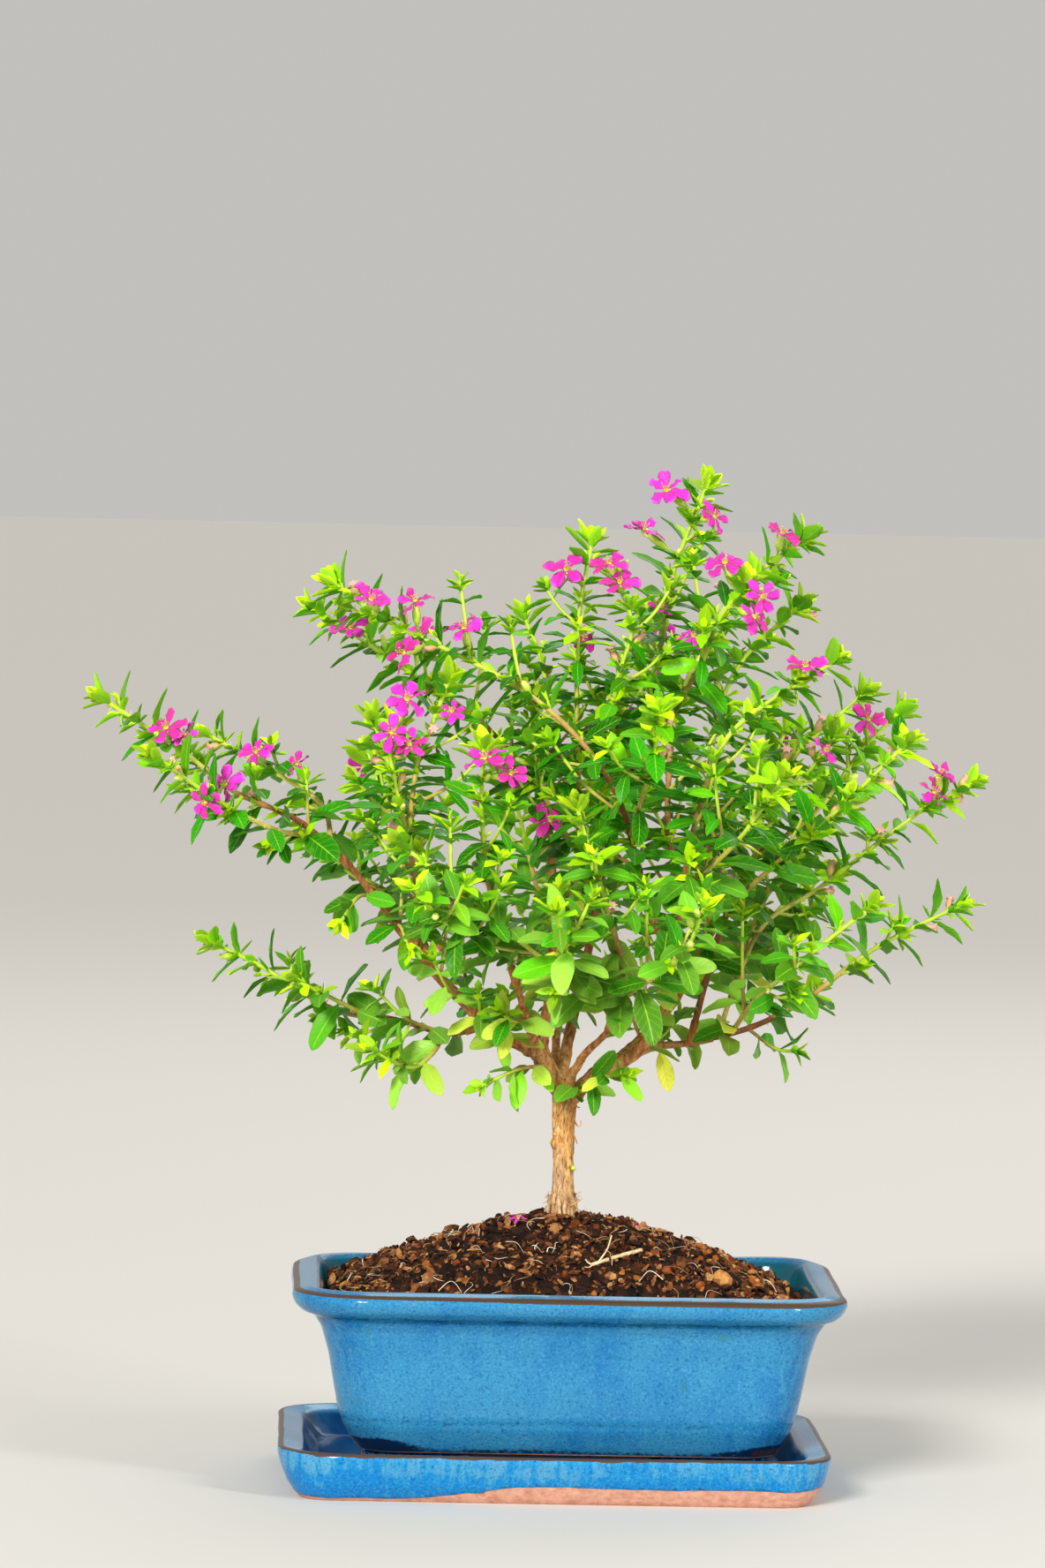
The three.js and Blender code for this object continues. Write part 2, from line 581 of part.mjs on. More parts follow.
// Corolla: crinkled petals about a low boss, a star-shaped lens that is thick in the middle
function corolla(path, at, radius, seed) {
  const random = seeded(seed);
  const { face, axis } = bloomAxis(path, at);
  const first = axis.clone().cross(vec(0.3, 0.2, 1)).normalize();
  const second = axis.clone().cross(first);
  const turn = 2 * Math.PI * random();
  const outline = [[-0.5, 0.27, 0], [-0.2, 0.97, 0.3], [0.2, 0.97, -0.2]];
  const rim = [];
  for (let petal = 0; petal < PETALS; petal += 1) {
    const reach = radius * (0.92 + 0.12 * random());
    for (const [offset, share, lift] of outline) {
      const angle = turn + (petal + offset) * 2 * Math.PI / PETALS;
      const p = face.clone().addScaledVector(axis, lift + (share > 0.5 ? 0.7 * (random() - 0.5) : 0));
      p.addScaledVector(first, reach * share * Math.cos(angle));
      rim.push(p.addScaledVector(second, reach * share * Math.sin(angle)));
    }
  }
  const points = [...rim, face.clone().addScaledVector(axis, 0.9), face.clone().addScaledVector(axis, -1.1)];
  const [front, rear] = [rim.length, rim.length + 1];
  const index = rim.flatMap((_, i) => {
    const next = (i + 1) % rim.length;
    return [i, next, front, next, i, rear];
  });
  return solidOf(surface(points, index));
}

const group = new THREE.Group();

function addPiece(name, solid, material) {
  const mesh = new THREE.Mesh(geometryOf(solid), material);
  mesh.name = name;
  group.add(mesh);
}

function finish(color, roughness) {
  return new THREE.MeshStandardMaterial({ color, roughness, metalness: 0 });
}

const GLAZE = finish('#3f93c6', 0.15);
const MESH_PLASTIC = finish('#20252a', 0.6);
const EARTH = finish('#3a2a20', 0.95);
const BARK = finish('#9a6a3e', 0.85);
const FOLIAGE = finish('#3f9a25', 0.45);
const PETAL = finish('#dd2fae', 0.6);

addPiece('saucer', saucer(), GLAZE);
addPiece('pot', pot(), GLAZE);
addPiece('drain_screen_left', drainScreen(POT_SHIFT - DRAIN_OFFSET), MESH_PLASTIC);
addPiece('drain_screen_right', drainScreen(POT_SHIFT + DRAIN_OFFSET), MESH_PLASTIC);
addPiece('soil', soil(), EARTH);

// A side shoot starts at the nearest point on the axis of a shoot that is already there
function rooted([start, ...rest], shoots) {
  const target = vec(...start);
  const feet = shoots.map(({ path }) => path.at(path.nearest(target)).point);
  feet.sort((a, b) => a.distanceTo(target) - b.distanceTo(target));
  return [feet[0].toArray(), ...rest];
}

const sprays = Object.entries(SPRAYS).map(([name, routes]) => {
  const shoots = [];
  for (const [place, route] of routes.entries()) {
    const path = new Path(place === 0 ? route : rooted(route, shoots));
    const start = place === 0 ? STUB + GAP : 0;
    const [foot, sides] = place === 0 ? [MAIN_STEM_RADIUS, 4] : [SIDE_STEM_RADIUS, 3];
    const solid = stem(path, [start, path.length], [foot, STEM_TIP_RADIUS], sides, STEM_STEP);
    const shoot = { path, start, parts: [solid] };
    keep(solid, shoot);
    shoots.push(shoot);
  }
  return { name, shoots };
});
const shootOf = (spray, place) => sprays.find(({ name }) => name === spray).shoots[place];

const stubs = sprays.map(({ shoots: [{ path }] }) => (
  stem(path, [0, STUB], [MAIN_STEM_RADIUS, MAIN_STEM_RADIUS], 4, STUB)
));
const wood = [trunkPost(), ...Object.values(BRANCHES).map(branch), ...stubs];
wood.forEach((solid) => keep(solid));
addPiece('trunk', oneBody(wood), BARK);

for (const [place, [name, flowers]] of Object.entries(BLOOMS).entries()) {
  const heads = flowers.map(([spray, order, at, radius], flower) => {
    const shoot = shootOf(spray, order);
    shoot.parts.push(keep(calyx(shoot.path, at)));
    return keep(corolla(shoot.path, at, radius, 300 + 10 * place + flower));
  });
  addPiece(`bloom_${name}`, oneBody(heads), PETAL);
}

for (const [place, { name, shoots }] of sprays.entries()) {
  for (const [order, shoot] of shoots.entries()) {
    const leaves = leavesOf(shoot, 1000 + 100 * place + order);
    shoot.parts.push(...leaves.map((leaf) => clearLeaf(shoot, leaf)).filter(Boolean));
  }
  addPiece(`spray_${name}`, oneBody(shoots.flatMap(({ parts }) => parts)), FOLIAGE);
}

export default group;
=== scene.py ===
"""A cuphea bonsai in a glazed pot on its saucer, dressed for rendering in Blender 4.5.

The packed model is the frame: every piece made here stands where its node is. Sizes are in
millimetres until a mesh is written, +Z is up and the front of the tree faces -Y.
"""

import functools
import math

import bpy
import numpy as np
from bpy.props import FloatProperty, FloatVectorProperty, IntProperty, PointerProperty
from mathutils import Matrix, Vector


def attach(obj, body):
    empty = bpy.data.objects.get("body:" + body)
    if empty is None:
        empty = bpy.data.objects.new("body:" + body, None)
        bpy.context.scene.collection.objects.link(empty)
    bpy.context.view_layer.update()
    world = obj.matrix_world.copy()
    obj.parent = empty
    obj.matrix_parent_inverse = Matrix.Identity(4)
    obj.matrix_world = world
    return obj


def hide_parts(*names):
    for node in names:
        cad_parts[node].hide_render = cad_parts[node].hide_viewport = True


bl_info = {
    "name": "Cuphea Bonsai",
    "version": (1, 0, 0),
    "blender": (4, 5, 0),
    "location": "3D View > Sidebar > Bonsai",
    "description": "Builds a flowering cuphea bonsai with its glazed pot and saucer",
    "category": "Add Mesh",
}

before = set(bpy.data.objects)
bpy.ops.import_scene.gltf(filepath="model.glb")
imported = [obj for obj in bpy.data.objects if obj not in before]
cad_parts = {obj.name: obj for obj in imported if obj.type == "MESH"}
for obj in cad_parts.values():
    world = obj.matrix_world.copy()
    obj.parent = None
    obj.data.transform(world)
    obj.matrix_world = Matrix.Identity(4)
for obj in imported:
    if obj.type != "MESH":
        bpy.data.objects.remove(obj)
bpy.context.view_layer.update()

MM = 0.001
UP = np.array([0.0, 0.0, 1.0])

# Ceramics, from the model's driving dimensions
POT_HALF = (75.0, 55.0)
SAUCER_HALF = (74.25, 55.0)
POT_SHIFT = 3.5
POT_UNDERSIDE = 11.5
POT_FLOOR = 16.5
SAUCER_FLOOR = 5.0
GAP = 0.3
FOOT_INSET = 20.5
FOOT_SPAN = (29.0, 21.0)
FOOT_WALL = 10.0
DRAIN_RADIUS = 5.0
DRAIN_OFFSET = 28.0
WIPED_INSET = 18.9
SOIL_INSET = 10.2
SCREEN_SIZE = 19.0
SCREEN_THICKNESS = 1.0
# Outside and inside levels: inset from the rim, corner radius, height
POT_OUTSIDE = [
    (19, 11, 11.5), (17.5, 12, 13.5), (13.8, 13, 20), (12, 13, 29), (10.3, 13.5, 38), (8.2, 14.5, 45),
    (6, 16, 48.4), (3.2, 19, 49.2), (1, 22, 51), (0, 23, 53.4), (0.4, 23, 54.6), (1.4, 22, 55.2),
    (5.6, 13.5, 56.2),
]
POT_INSIDE = [(7, 12, 56), (8.4, 11, 54.5), (12, 10, 40), (16, 9, 20), (19, 8, 16.5)]
SAUCER_LEVELS = [
    (6.4, 8, 0), (5, 9.5, 1.2), (2.7, 12.5, 4.5), (1, 15.5, 8.6), (0.1, 18, 11.6), (0, 18.5, 12.6),
    (0.8, 18, 13.4), (6.5, 12.5, 12.2), (9, 10, 8.5), (11.5, 9, 5.5), (14, 8, 5),
]

# Tree
TRUNK_X = 2.0
TRUNK_FOOT = 52.0
TRUNK_HOLE_RADIUS = 5.0
TRUNK_LEVELS = [
    (52, 4.2, 0), (73, 3.8, 0.07), (77, 3.2, 0.1), (83, 3, 0.08),
    (93, 2.9, 0.05), (104, 3.4, 0.08), (110, 2.4, 0.03),
]
STUB = 5.0
MAIN_STEM_RADIUS = 1.1
SIDE_STEM_RADIUS = 0.85
STEM_TIP_RADIUS = 0.6
# The blooms turn away from a point this far behind the trunk
LIGHT_DEPTH = 70.0
BRANCHES = {
    "left": ([(2, 0, 104), (-6, -3, 117), (-20, -9, 125), (-40, -18, 146), (-58, -22, 168)], (2.3, 0.8)),
    "centre": ([(1, 0, 108), (-4, 4, 118), (-2, 9, 136), (-2, 11, 163)], (1.9, 0.8)),
    "centre_back": ([(1, 1, 107), (3, 12, 119), (7, 22, 136), (14, 34, 172)], (1.8, 0.8)),
    "right": (
        [(2, 0, 103), (11, -2, 112), (21, -5, 118), (28, -11, 130), (30, -16, 140), (25, -22, 153)],
        (2.3, 0.8),
    ),
    "right_low": ([(18, -4, 116), (26, 0, 119), (36, 4, 120)], (1.6, 0.8)),
    "right_back": ([(10, -1, 111), (24, 14, 121), (35, 26, 133), (43, 34, 148)], (1.7, 0.8)),
    "left_back": ([(-8, -4, 118), (-17, 12, 122), (-27, 26, 135), (-34, 34, 146)], (1.6, 0.8)),
    "front": ([(2, -1, 105), (5, -18, 116), (12, -34, 126)], (1.5, 0.8)),
    "front_left": ([(-5, -3, 115), (-9, -22, 126), (-13, -38, 138)], (1.5, 0.8)),
    "back": ([(1, 2, 108), (0, 22, 116), (3, 42, 129)], (1.6, 0.8)),
    "cut_peg": ([(-35, -16, 141), (-37, -16, 145), (-39, -15, 150)], (1.3, 1.2)),
}
SPRAYS = {
    "far_left": [
        [(-58, -22, 168), (-72, -26, 180), (-90, -30, 188), (-103, -32, 198), (-125, -34, 212)],
        [(-66, -25, 176), (-78, -36, 178), (-92, -45, 185), (-110, -54, 197)],
        [(-63, -24, 173), (-66, -16, 184), (-80, -8, 193), (-97, -6, 202)],
    ],
    "low_left": [
        [(-20, -9, 125), (-30, -4, 122), (-44, 2, 125), (-61, 8, 127), (-81, 12, 138), (-96, 12, 145)],
        [(-31, -4, 122), (-35, -16, 117), (-41, -22, 114), (-51, -28, 119)],
        [(-52, 5, 126), (-62, -4, 131), (-72, -8, 136)],
    ],
    "left_mid": [
        [(-40, -18, 146), (-40, -28, 162), (-44, -34, 181), (-48, -37, 198), (-47, -38, 206)],
        [(-43, -32, 175), (-41, -36, 195), (-36, -38, 210), (-33, -38, 219)],
    ],
    "upper_left": [
        [
            (25, -22, 153), (19, -26, 171), (14, -30, 187), (5, -32, 201), (-9, -30, 214), (-27, -26, 224),
            (-49, -22, 234), (-64, -20, 244),
        ],
        [(17, -28, 178), (20, -44, 192), (22, -58, 205), (22, -66, 213)],
    ],
    "left_back_high": [
        [(-2, 11, 163), (-5, 13, 184), (-20, 10, 204), (-43, 4, 220), (-69, -2, 237)],
        [(-5, 13, 186), (-4, 20, 210), (-7, 25, 226), (-11, 26, 235)],
    ],
    "leader": [
        [(-2, 10, 148), (4, 2, 170), (4, 0, 188), (3, 0, 212), (3, 0, 236), (6, 0, 256)],
        [(4, 2, 172), (-5, -8, 186), (-9, -14, 200), (-9, -18, 212)],
    ],
    "top": [
        [(14, 34, 172), (21, 28, 199), (26, 24, 221), (29, 22, 246), (38, 18, 272)],
        [(16, 32, 180), (14, 12, 196), (13, -8, 217), (17, -12, 233), (13, -12, 246)],
        [(17, 31, 184), (22, 52, 202), (24, 64, 222), (27, 70, 237)],
    ],
    "right_leader": [
        [
            (30, -16, 140), (32, -8, 160), (28, -8, 182), (30, 0, 210), (36, 4, 225), (46, 8, 243),
            (65, 10, 259),
        ],
        [(31, 2, 213), (36, -10, 224), (40, -18, 236), (47, -22, 246)],
    ],
    "right_high": [
        [(43, 34, 148), (41, 30, 172), (42, 24, 204), (49, 24, 224), (65, 26, 240)],
        [(42, 31, 166), (54, 36, 182), (66, 34, 199), (84, 34, 216)],
        [(42, 32, 160), (50, 52, 172), (58, 67, 188), (65, 76, 203)],
    ],
    "right_front": [
        [(28, -19, 147), (31, -27, 158), (33, -36, 178), (40, -39, 202), (50, -38, 213), (70, -36, 226)],
        [(32, -31, 166), (38, -44, 171), (46, -57, 181), (55, -66, 196)],
    ],
    "right_mid": [
        [(36, 4, 120), (43, -2, 150), (50, -7, 168), (57, -10, 183), (66, -15, 196), (72, -18, 206)],
        [(46, -5, 158), (60, -22, 174), (73, -33, 187), (90, -40, 205)],
        [(52, -8, 172), (68, -6, 184), (80, -1, 200), (91, 2, 212)],
    ],
    "right_reach": [
        [(36, 4, 120), (53, 2, 125), (68, 4, 133), (87, 8, 147), (110, 10, 159)],
        [(44, 4, 122), (50, 10, 140), (57, 14, 153), (72, 16, 163), (97, 14, 183), (112, 12, 192)],
        [(47, 3, 123), (52, -16, 133), (62, -32, 144), (81, -42, 161)],
        [(50, 10, 140), (56, 26, 156), (66, 38, 170), (80, 46, 184)],
    ],
    "front": [
        [(12, -34, 126), (15, -48, 140), (11, -59, 157), (5, -66, 174), (1, -69, 187)],
        [(14, -41, 132), (6, -48, 138), (-8, -58, 147), (-22, -64, 159), (-45, -62, 176)],
        [(14, -44, 136), (22, -62, 142), (30, -78, 151), (34, -89, 163)],
        [(0, -52, 142), (0, -65, 145), (-2, -77, 151), (-5, -88, 161)],
    ],
    "front_left": [
        [(-13, -38, 138), (-21, -56, 163), (-24, -64, 185), (-24, -69, 202)],
        [(-16, -46, 149), (-27, -62, 153), (-35, -74, 158), (-42, -84, 166)],
    ],
    "back": [
        [(3, 42, 129), (-3, 60, 152), (-9, 76, 176), (-15, 88, 198)],
        [(1, 49, 138), (12, 60, 160), (18, 76, 188), (20, 86, 212)],
        [(2, 46, 135), (4, 70, 144), (8, 86, 156), (11, 98, 171)],
    ],
    "back_left": [
        [(-34, 34, 146), (-40, 48, 165), (-47, 59, 180), (-53, 66, 196)],
        [(-36, 39, 153), (-46, 50, 157), (-58, 60, 163), (-70, 66, 172)],
        [(-36, 40, 154), (-40, 32, 172), (-46, 30, 190), (-52, 30, 206)],
    ],
    "back_right": [
        [(35, 26, 133), (50, 47, 142), (62, 62, 152), (76, 76, 165)],
        [(44, 39, 138), (42, 60, 150), (42, 76, 164), (44, 88, 180)],
    ],
}
# Open blooms: the spray and shoot that each grows from, the centre of its face and its radius
BLOOMS = {
    "top_crown": [("top", 0, (27, 16, 271), 6)],
    "top_side": [("top", 0, (40, 10, 264), 5.2)],
    "top_left": [("top", 0, (21, 18, 260), 6)],
    "top_low": [("top", 0, (26, 14, 239), 4.6)],
    "top_back": [("top", 2, (29, 79, 233), 6)],
    "centre_pair": [("top", 1, (10, -20, 251), 5.8), ("top", 1, (13, -21, 246), 5.4)],
    "leader_high": [("leader", 0, (-1, -8, 249), 6)],
    "leader_mid": [("leader", 0, (4, -9, 231), 4.6)],
    "leader_front": [("leader", 1, (-4, -12, 181), 5.6)],
    "right_leader_tip": [("right_leader", 0, (58, 1, 260), 5.4)],
    "right_leader_front": [("right_leader", 1, (41, -25, 252), 6)],
    "right_leader_low": [("right_leader", 1, (33, -23, 232), 4.2)],
    "right_leader_pair": [("right_leader", 1, (51, -30, 243), 5.4), ("right_leader", 1, (49, -30, 237.5), 5)],
    "upper_left_tip": [("upper_left", 0, (-54, -30, 240), 6)],
    "upper_left_side": [("upper_left", 0, (-42, -27, 240), 5.2)],
    "upper_left_low": [("upper_left", 0, (-45, -33, 226), 5.8)],
    "upper_left_mid": [("upper_left", 0, (-29, -33, 233), 5.4)],
    "left_high": [("left_back_high", 0, (-59, -10, 232), 5.6)],
    "left_high_back": [("left_back_high", 0, (-40, 8, 230), 5.6)],
    "inner_left": [("left_back_high", 0, (-12, 3, 194), 5)],
    "left_mid_large": [("left_mid", 0, (-44, -43, 214), 6.2)],
    "left_mid_pair": [("left_mid", 1, (-48, -47, 205), 5), ("left_mid", 1, (-43, -47, 202), 4.6)],
    "left_mid_side": [("left_mid", 1, (-32, -45, 211), 4.2)],
    "far_left_pair": [("far_left", 0, (-108, -41, 205), 6), ("far_left", 0, (-103, -41, 203), 4.8)],
    "far_left_low": [("far_left", 0, (-92, -39, 190), 5.6)],
    "far_left_edge": [("far_left", 1, (-97, -57, 186), 5)],
    "far_left_back": [("far_left", 2, (-84, -16, 198), 5.6)],
    "far_left_inner": [("far_left", 2, (-73, -18, 195), 4.6)],
    "front_pair": [("front_left", 0, (-24, -77, 200), 6), ("front_left", 0, (-17, -76, 196), 4.8)],
    "right_front_tip": [("right_front", 0, (62, -45, 225), 6)],
    "right_mid_tip": [("right_mid", 2, (82, -8, 210), 5.4)],
    "right_mid_face": [("right_mid", 0, (69, -27, 202), 5.6)],
    "right_reach_pair": [("right_reach", 1, (103, 6, 195), 5.6), ("right_reach", 1, (101.5, 4, 190), 5)],
    "back_right_high": [("right_high", 2, (67, 85, 198), 6)],
    "back_high": [("back", 1, (20, 95, 207), 6)],
    "back_left_high": [("back_left", 0, (-54, 75, 191), 6)],
    "back_low": [("back_right", 1, (46, 96, 174), 5.6)],
}


# Colour and arithmetic


def linear(code):
    """An sRGB hex colour as linear red, green, blue and alpha."""
    channels = np.array([int(code[i:i + 2], 16) for i in (1, 3, 5)]) / 255
    bright = ((channels + 0.055) / 1.055) ** 2.4
    return (*np.where(channels <= 0.04045, channels / 12.92, bright).tolist(), 1.0)


def mix(a, b, t):
    return a + (b - a) * t


def smooth(low, high, value):
    """0 below low, 1 above high and an S-curve between."""
    t = np.clip((value - low) / (high - low), 0, 1)
    return t * t * (3 - 2 * t)


def dot(a, b):
    return np.sum(a * b, axis=-1, keepdims=True)


def norm(vectors):
    return np.linalg.norm(vectors, axis=-1, keepdims=True)


def unit(vectors):
    return vectors / norm(vectors)


def spokes(count):
    """Angles evenly round a turn."""
    return np.arange(count) * 2 * math.pi / count


def ripple(points, size, seed):
    """Smooth noise, mostly within -1 to 1: ten plane sine waves about `size` long in random directions."""
    rng = np.random.default_rng(seed)
    waves = unit(rng.normal(size=(10, 3))) * (2 * math.pi / size * rng.uniform(0.6, 1.5, (10, 1)))
    return np.sin(points @ waves.T + rng.uniform(0, 2 * math.pi, 10)).sum(-1) / 4.5


def seeded(seed):
    """The tree's own draw, the same on every run: a linear congruential generator."""
    state = seed
    while True:
        state = (state * 1664525 + 1013904223) % 4294967296
        yield state / 4294967296


# Meshes


class Skin:
    """Closed solids gathered into one mesh. Each batch is an array of rings, (solids, rings, points, 3),
    that run counter-clockwise about the way they travel. Quads join each ring to the next, and a flat
    cap closes each end. A batch also carries its material's place and named values for its points."""

    def __init__(self):
        self.batches = []

    def add(self, rings, material=0, **values):
        rings = rings if rings.ndim == 4 else rings[None]
        self.batches.append((rings, material, values))

    def mesh(self, name, materials, crease=180):
        """Writes the gathered solids into a mesh, with edges sharper than `crease` degrees left hard."""
        names = sorted({key for _, _, values in self.batches for key in values})
        fields = {key: [] for key in names}
        points, corners, totals, places = [], [], [], []
        base = 0
        for rings, material, values in self.batches:
            count, stations, loop = rings.shape[:3]
            here = np.arange(loop)
            after = (here + 1) % loop
            first = base + np.arange(count)[:, None, None] * stations * loop
            row = first + np.arange(stations - 1)[:, None] * loop
            quads = np.stack([row + here, row + after, row + after + loop, row + here + loop], -1)
            last = first[:, 0] + (stations - 1) * loop
            corners += [quads.ravel(), (first[:, 0] + here[::-1]).ravel(), (last + here).ravel()]
            totals += [np.full(quads.size // 4, 4), np.full(2 * count, loop)]
            places.append(np.full(quads.size // 4 + 2 * count, material))
            points.append(rings.reshape(-1, 3))
            for key in names:
                value = np.broadcast_to(values.get(key, 0.0), rings.shape[:3])
                fields[key].append(value.ravel())
            base += count * stations * loop
        points, corners, totals = (np.concatenate(part) for part in (points, corners, totals))
        mesh = bpy.data.meshes.new(name)
        mesh.vertices.add(len(points))
        mesh.vertices.foreach_set("co", (points * MM).astype(np.float32).ravel())
        mesh.loops.add(len(corners))
        mesh.loops.foreach_set("vertex_index", corners.astype(np.int32))
        mesh.polygons.add(len(totals))
        mesh.polygons.foreach_set("loop_start", (np.cumsum(totals) - totals).astype(np.int32))
        mesh.polygons.foreach_set("material_index", np.concatenate(places).astype(np.int32))
        mesh.polygons.foreach_set("use_smooth", np.ones(len(totals), bool))
        for key in names:
            field = mesh.attributes.new(key, "FLOAT", "POINT")
            field.data.foreach_set("value", np.concatenate(fields[key]).astype(np.float32))
        for material in materials:
            mesh.materials.append(material)
        mesh.update(calc_edges=True)
        mesh.set_sharp_from_angle(angle=math.radians(crease))
        return mesh

    def place(self, name, materials, slot, *nodes, crease=180):
        return place(name, self.mesh(name, materials, crease), slot, *nodes)


def into_scene(name, data):
    made = bpy.data.objects.new(name, data)
    bpy.context.scene.collection.objects.link(made)
    return made


def place(name, mesh, slot, *nodes):
    """Puts a mesh into the scene as a piece that rides on the body and stands for its nodes."""
    made = into_scene(name, mesh)
    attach(made, "root")
    if nodes:
        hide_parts(*nodes)
    return made


def carve(mesh, cutter):
    """The mesh with the cutter's solids taken out of it. Materials and named values stay."""
    target = into_scene("carved", mesh)
    tool = into_scene("cutter", cutter)
    cut = target.modifiers.new("Cut", "BOOLEAN")
    cut.operation = "DIFFERENCE"
    cut.solver = "MANIFOLD"
    cut.object = tool
    depsgraph = bpy.context.evaluated_depsgraph_get()
    result = bpy.data.meshes.new_from_object(target.evaluated_get(depsgraph))
    for made in (target, tool):
        bpy.data.objects.remove(made)
    return result


# Shapes


# Share of each quarter of a tray's ring that lies in the corner, and the ring's points as shares of a turn
ARC = 0.45
TRAY_TURNS = np.arange(260) / 260


def rounded(half_x, half_y, radius, turn):
    """A rectangle with round corners, counter-clockwise. Each quarter of `turn` goes round one corner's
    arc for ARC of its way, then straight on to the next corner."""
    signs = np.array([(1, 1), (-1, 1), (-1, -1), (1, -1), (1, 1)])
    quarter = np.floor(turn * 4).astype(int)
    part = turn * 4 - quarter
    angle = (quarter + np.minimum(part / ARC, 1)) * math.pi / 2
    run = np.clip((part - ARC) / (1 - ARC), 0, 1)
    x = (half_x - radius) * mix(signs[quarter, 0], signs[quarter + 1, 0], run) + radius * np.cos(angle)
    y = (half_y - radius) * mix(signs[quarter, 1], signs[quarter + 1, 1], run) + radius * np.sin(angle)
    return x, y


def profile(levels, step, soften):
    """The levels as a line with a point every `step`, each the weighted mean of its neighbours within
    `soften` points, so that glaze rounds every edge."""
    levels = np.array(levels, float)
    gaps = np.hypot(np.diff(levels[:, 0]), np.diff(levels[:, 2]))
    along = np.concatenate([[0], np.cumsum(gaps)])
    even = np.linspace(0, along[-1], int(along[-1] / step))
    weights = np.hanning(2 * soften + 3)[1:-1]
    weights /= weights.sum()
    columns = []
    for column in levels.T:
        line = np.pad(np.interp(even, along, column), soften, mode="reflect", reflect_type="odd")
        columns.append(np.convolve(line, weights, "valid"))
    return np.stack(columns, -1)


def tray(levels, half, centre, turns):
    """Rings of a tray from its levels: a rounded rectangle for each inset, corner radius and height."""
    inset, radius, height = (levels[:, k, None] for k in range(3))
    x, y = rounded(half[0] - inset, half[1] - inset, radius, turns)
    return np.stack([x + centre, y, np.broadcast_to(height, x.shape)], -1)


def pipes(lines, radii, sides):
    """Round tubes along lines of points, (tubes, points, 3). Each ring is the line's point plus its radius
    times side·cos + other·sin, where side is level and square to the line's chord, so no tube twists."""
    chord = lines[:, -1] - lines[:, 0]
    level = np.cross(chord, UP)
    upright = norm(level) < 1e-3 * norm(chord)
    level = np.where(upright, [1.0, 0.0, 0.0], level)[:, None]
    tangent = unit(np.gradient(lines, axis=1))
    side = unit(level - tangent * dot(level, tangent))
    other = np.cross(tangent, side)
    radii = np.asarray(radii, float)
    radii = radii if radii.ndim == 3 else radii[..., None]
    angle = spokes(sides)
    x = (radii * np.cos(angle))[..., None]
    y = (radii * np.sin(angle))[..., None]
    return lines[:, :, None] + side[:, :, None] * x + other[:, :, None] * y


class Path:
    """A uniform Catmull-Rom curve through given points, measured along its length, with a frame
    that never twists: side is level and square to the chord, made square to the path."""

    def __init__(self, points):
        given = np.array(points, float)
        self.knots = np.vstack([2 * given[0] - given[1], given, 2 * given[-1] - given[-2]])
        self.shares = np.linspace(0, 1, 201)
        steps = np.diff(self.curve(self.shares)[0], axis=0)
        self.lengths = np.concatenate([[0], np.cumsum(np.linalg.norm(steps, axis=1))])
        self.length = self.lengths[-1]
        self.level = unit(np.cross(given[-1] - given[0], UP))

    def curve(self, share):
        """Point and direction: a cubic between neighbours, whose end slopes are half the step across them."""
        spans = len(self.knots) - 3
        at = np.clip(np.asarray(share) * spans, 0, spans - 1e-9)
        i = at.astype(int)
        t = (at - i)[..., None]
        before, start, end, after = (self.knots[i + k] for k in range(4))
        out = (end - before) / 2
        into = (after - start) / 2
        square = 3 * (end - start) - 2 * out - into
        cube = 2 * (start - end) + out + into
        return start + t * (out + t * (square + t * cube)), out + t * (2 * square + 3 * t * cube)

    def at(self, distance):
        point, direction = self.curve(np.interp(distance, self.lengths, self.shares))
        tangent = unit(direction)
        side = unit(self.level - tangent * dot(self.level, tangent))
        return point, tangent, side, np.cross(tangent, side)

    def tube(self, steps, radius, sides):
        return pipes(self.at(steps)[0][None], radius, sides)

    def nearest(self, target):
        steps = math.ceil(self.length)
        places = np.arange(steps + 1) / steps * self.length
        gaps = np.linalg.norm(self.at(places)[0] - np.array(target, float), axis=1)
        return places[np.argmin(gaps)]


# A blade's cut. The loop round its section: how far across each point lies, and whether it is on the
# underside. Its outline: shares of the length, and of the half width there.
LEAF_LOOP = (np.array([1, 0.5, 0, -0.5, -1, 0]), np.array([0.5, 0, 0, 0, 0.5, 1]))
LEAF = (LEAF_LOOP, [
    (-0.03, 0.1), (0.07, 0.17), (0.22, 0.64), (0.4, 0.96), (0.58, 1), (0.76, 0.8), (0.92, 0.4), (1, 0.06),
])
BLUNT_LEAF = (LEAF_LOOP, [
    (-0.03, 0.1), (0.08, 0.18), (0.24, 0.66), (0.42, 0.95), (0.6, 1), (0.78, 0.87), (0.92, 0.56), (1, 0.14),
])
SMALL_LEAF = (
    (np.array([1, 0, -1, 0]), np.array([0.5, 0, 0.5, 1])),
    [(-0.03, 0.2), (0.3, 0.88), (0.66, 0.94), (1, 0.1)],
)
PETAL = (
    (
        np.array([1, 0.62, 0.2, -0.2, -0.62, -1, -0.62, -0.2, 0.2, 0.62]),
        np.array([0.5, 0, 0, 0, 0, 0.5, 1, 1, 1, 1]),
    ),
    [(0, 0.16), (0.16, 0.28), (0.34, 0.62), (0.54, 0.92), (0.72, 1), (0.87, 0.9), (0.96, 0.62), (1, 0.3)],
)


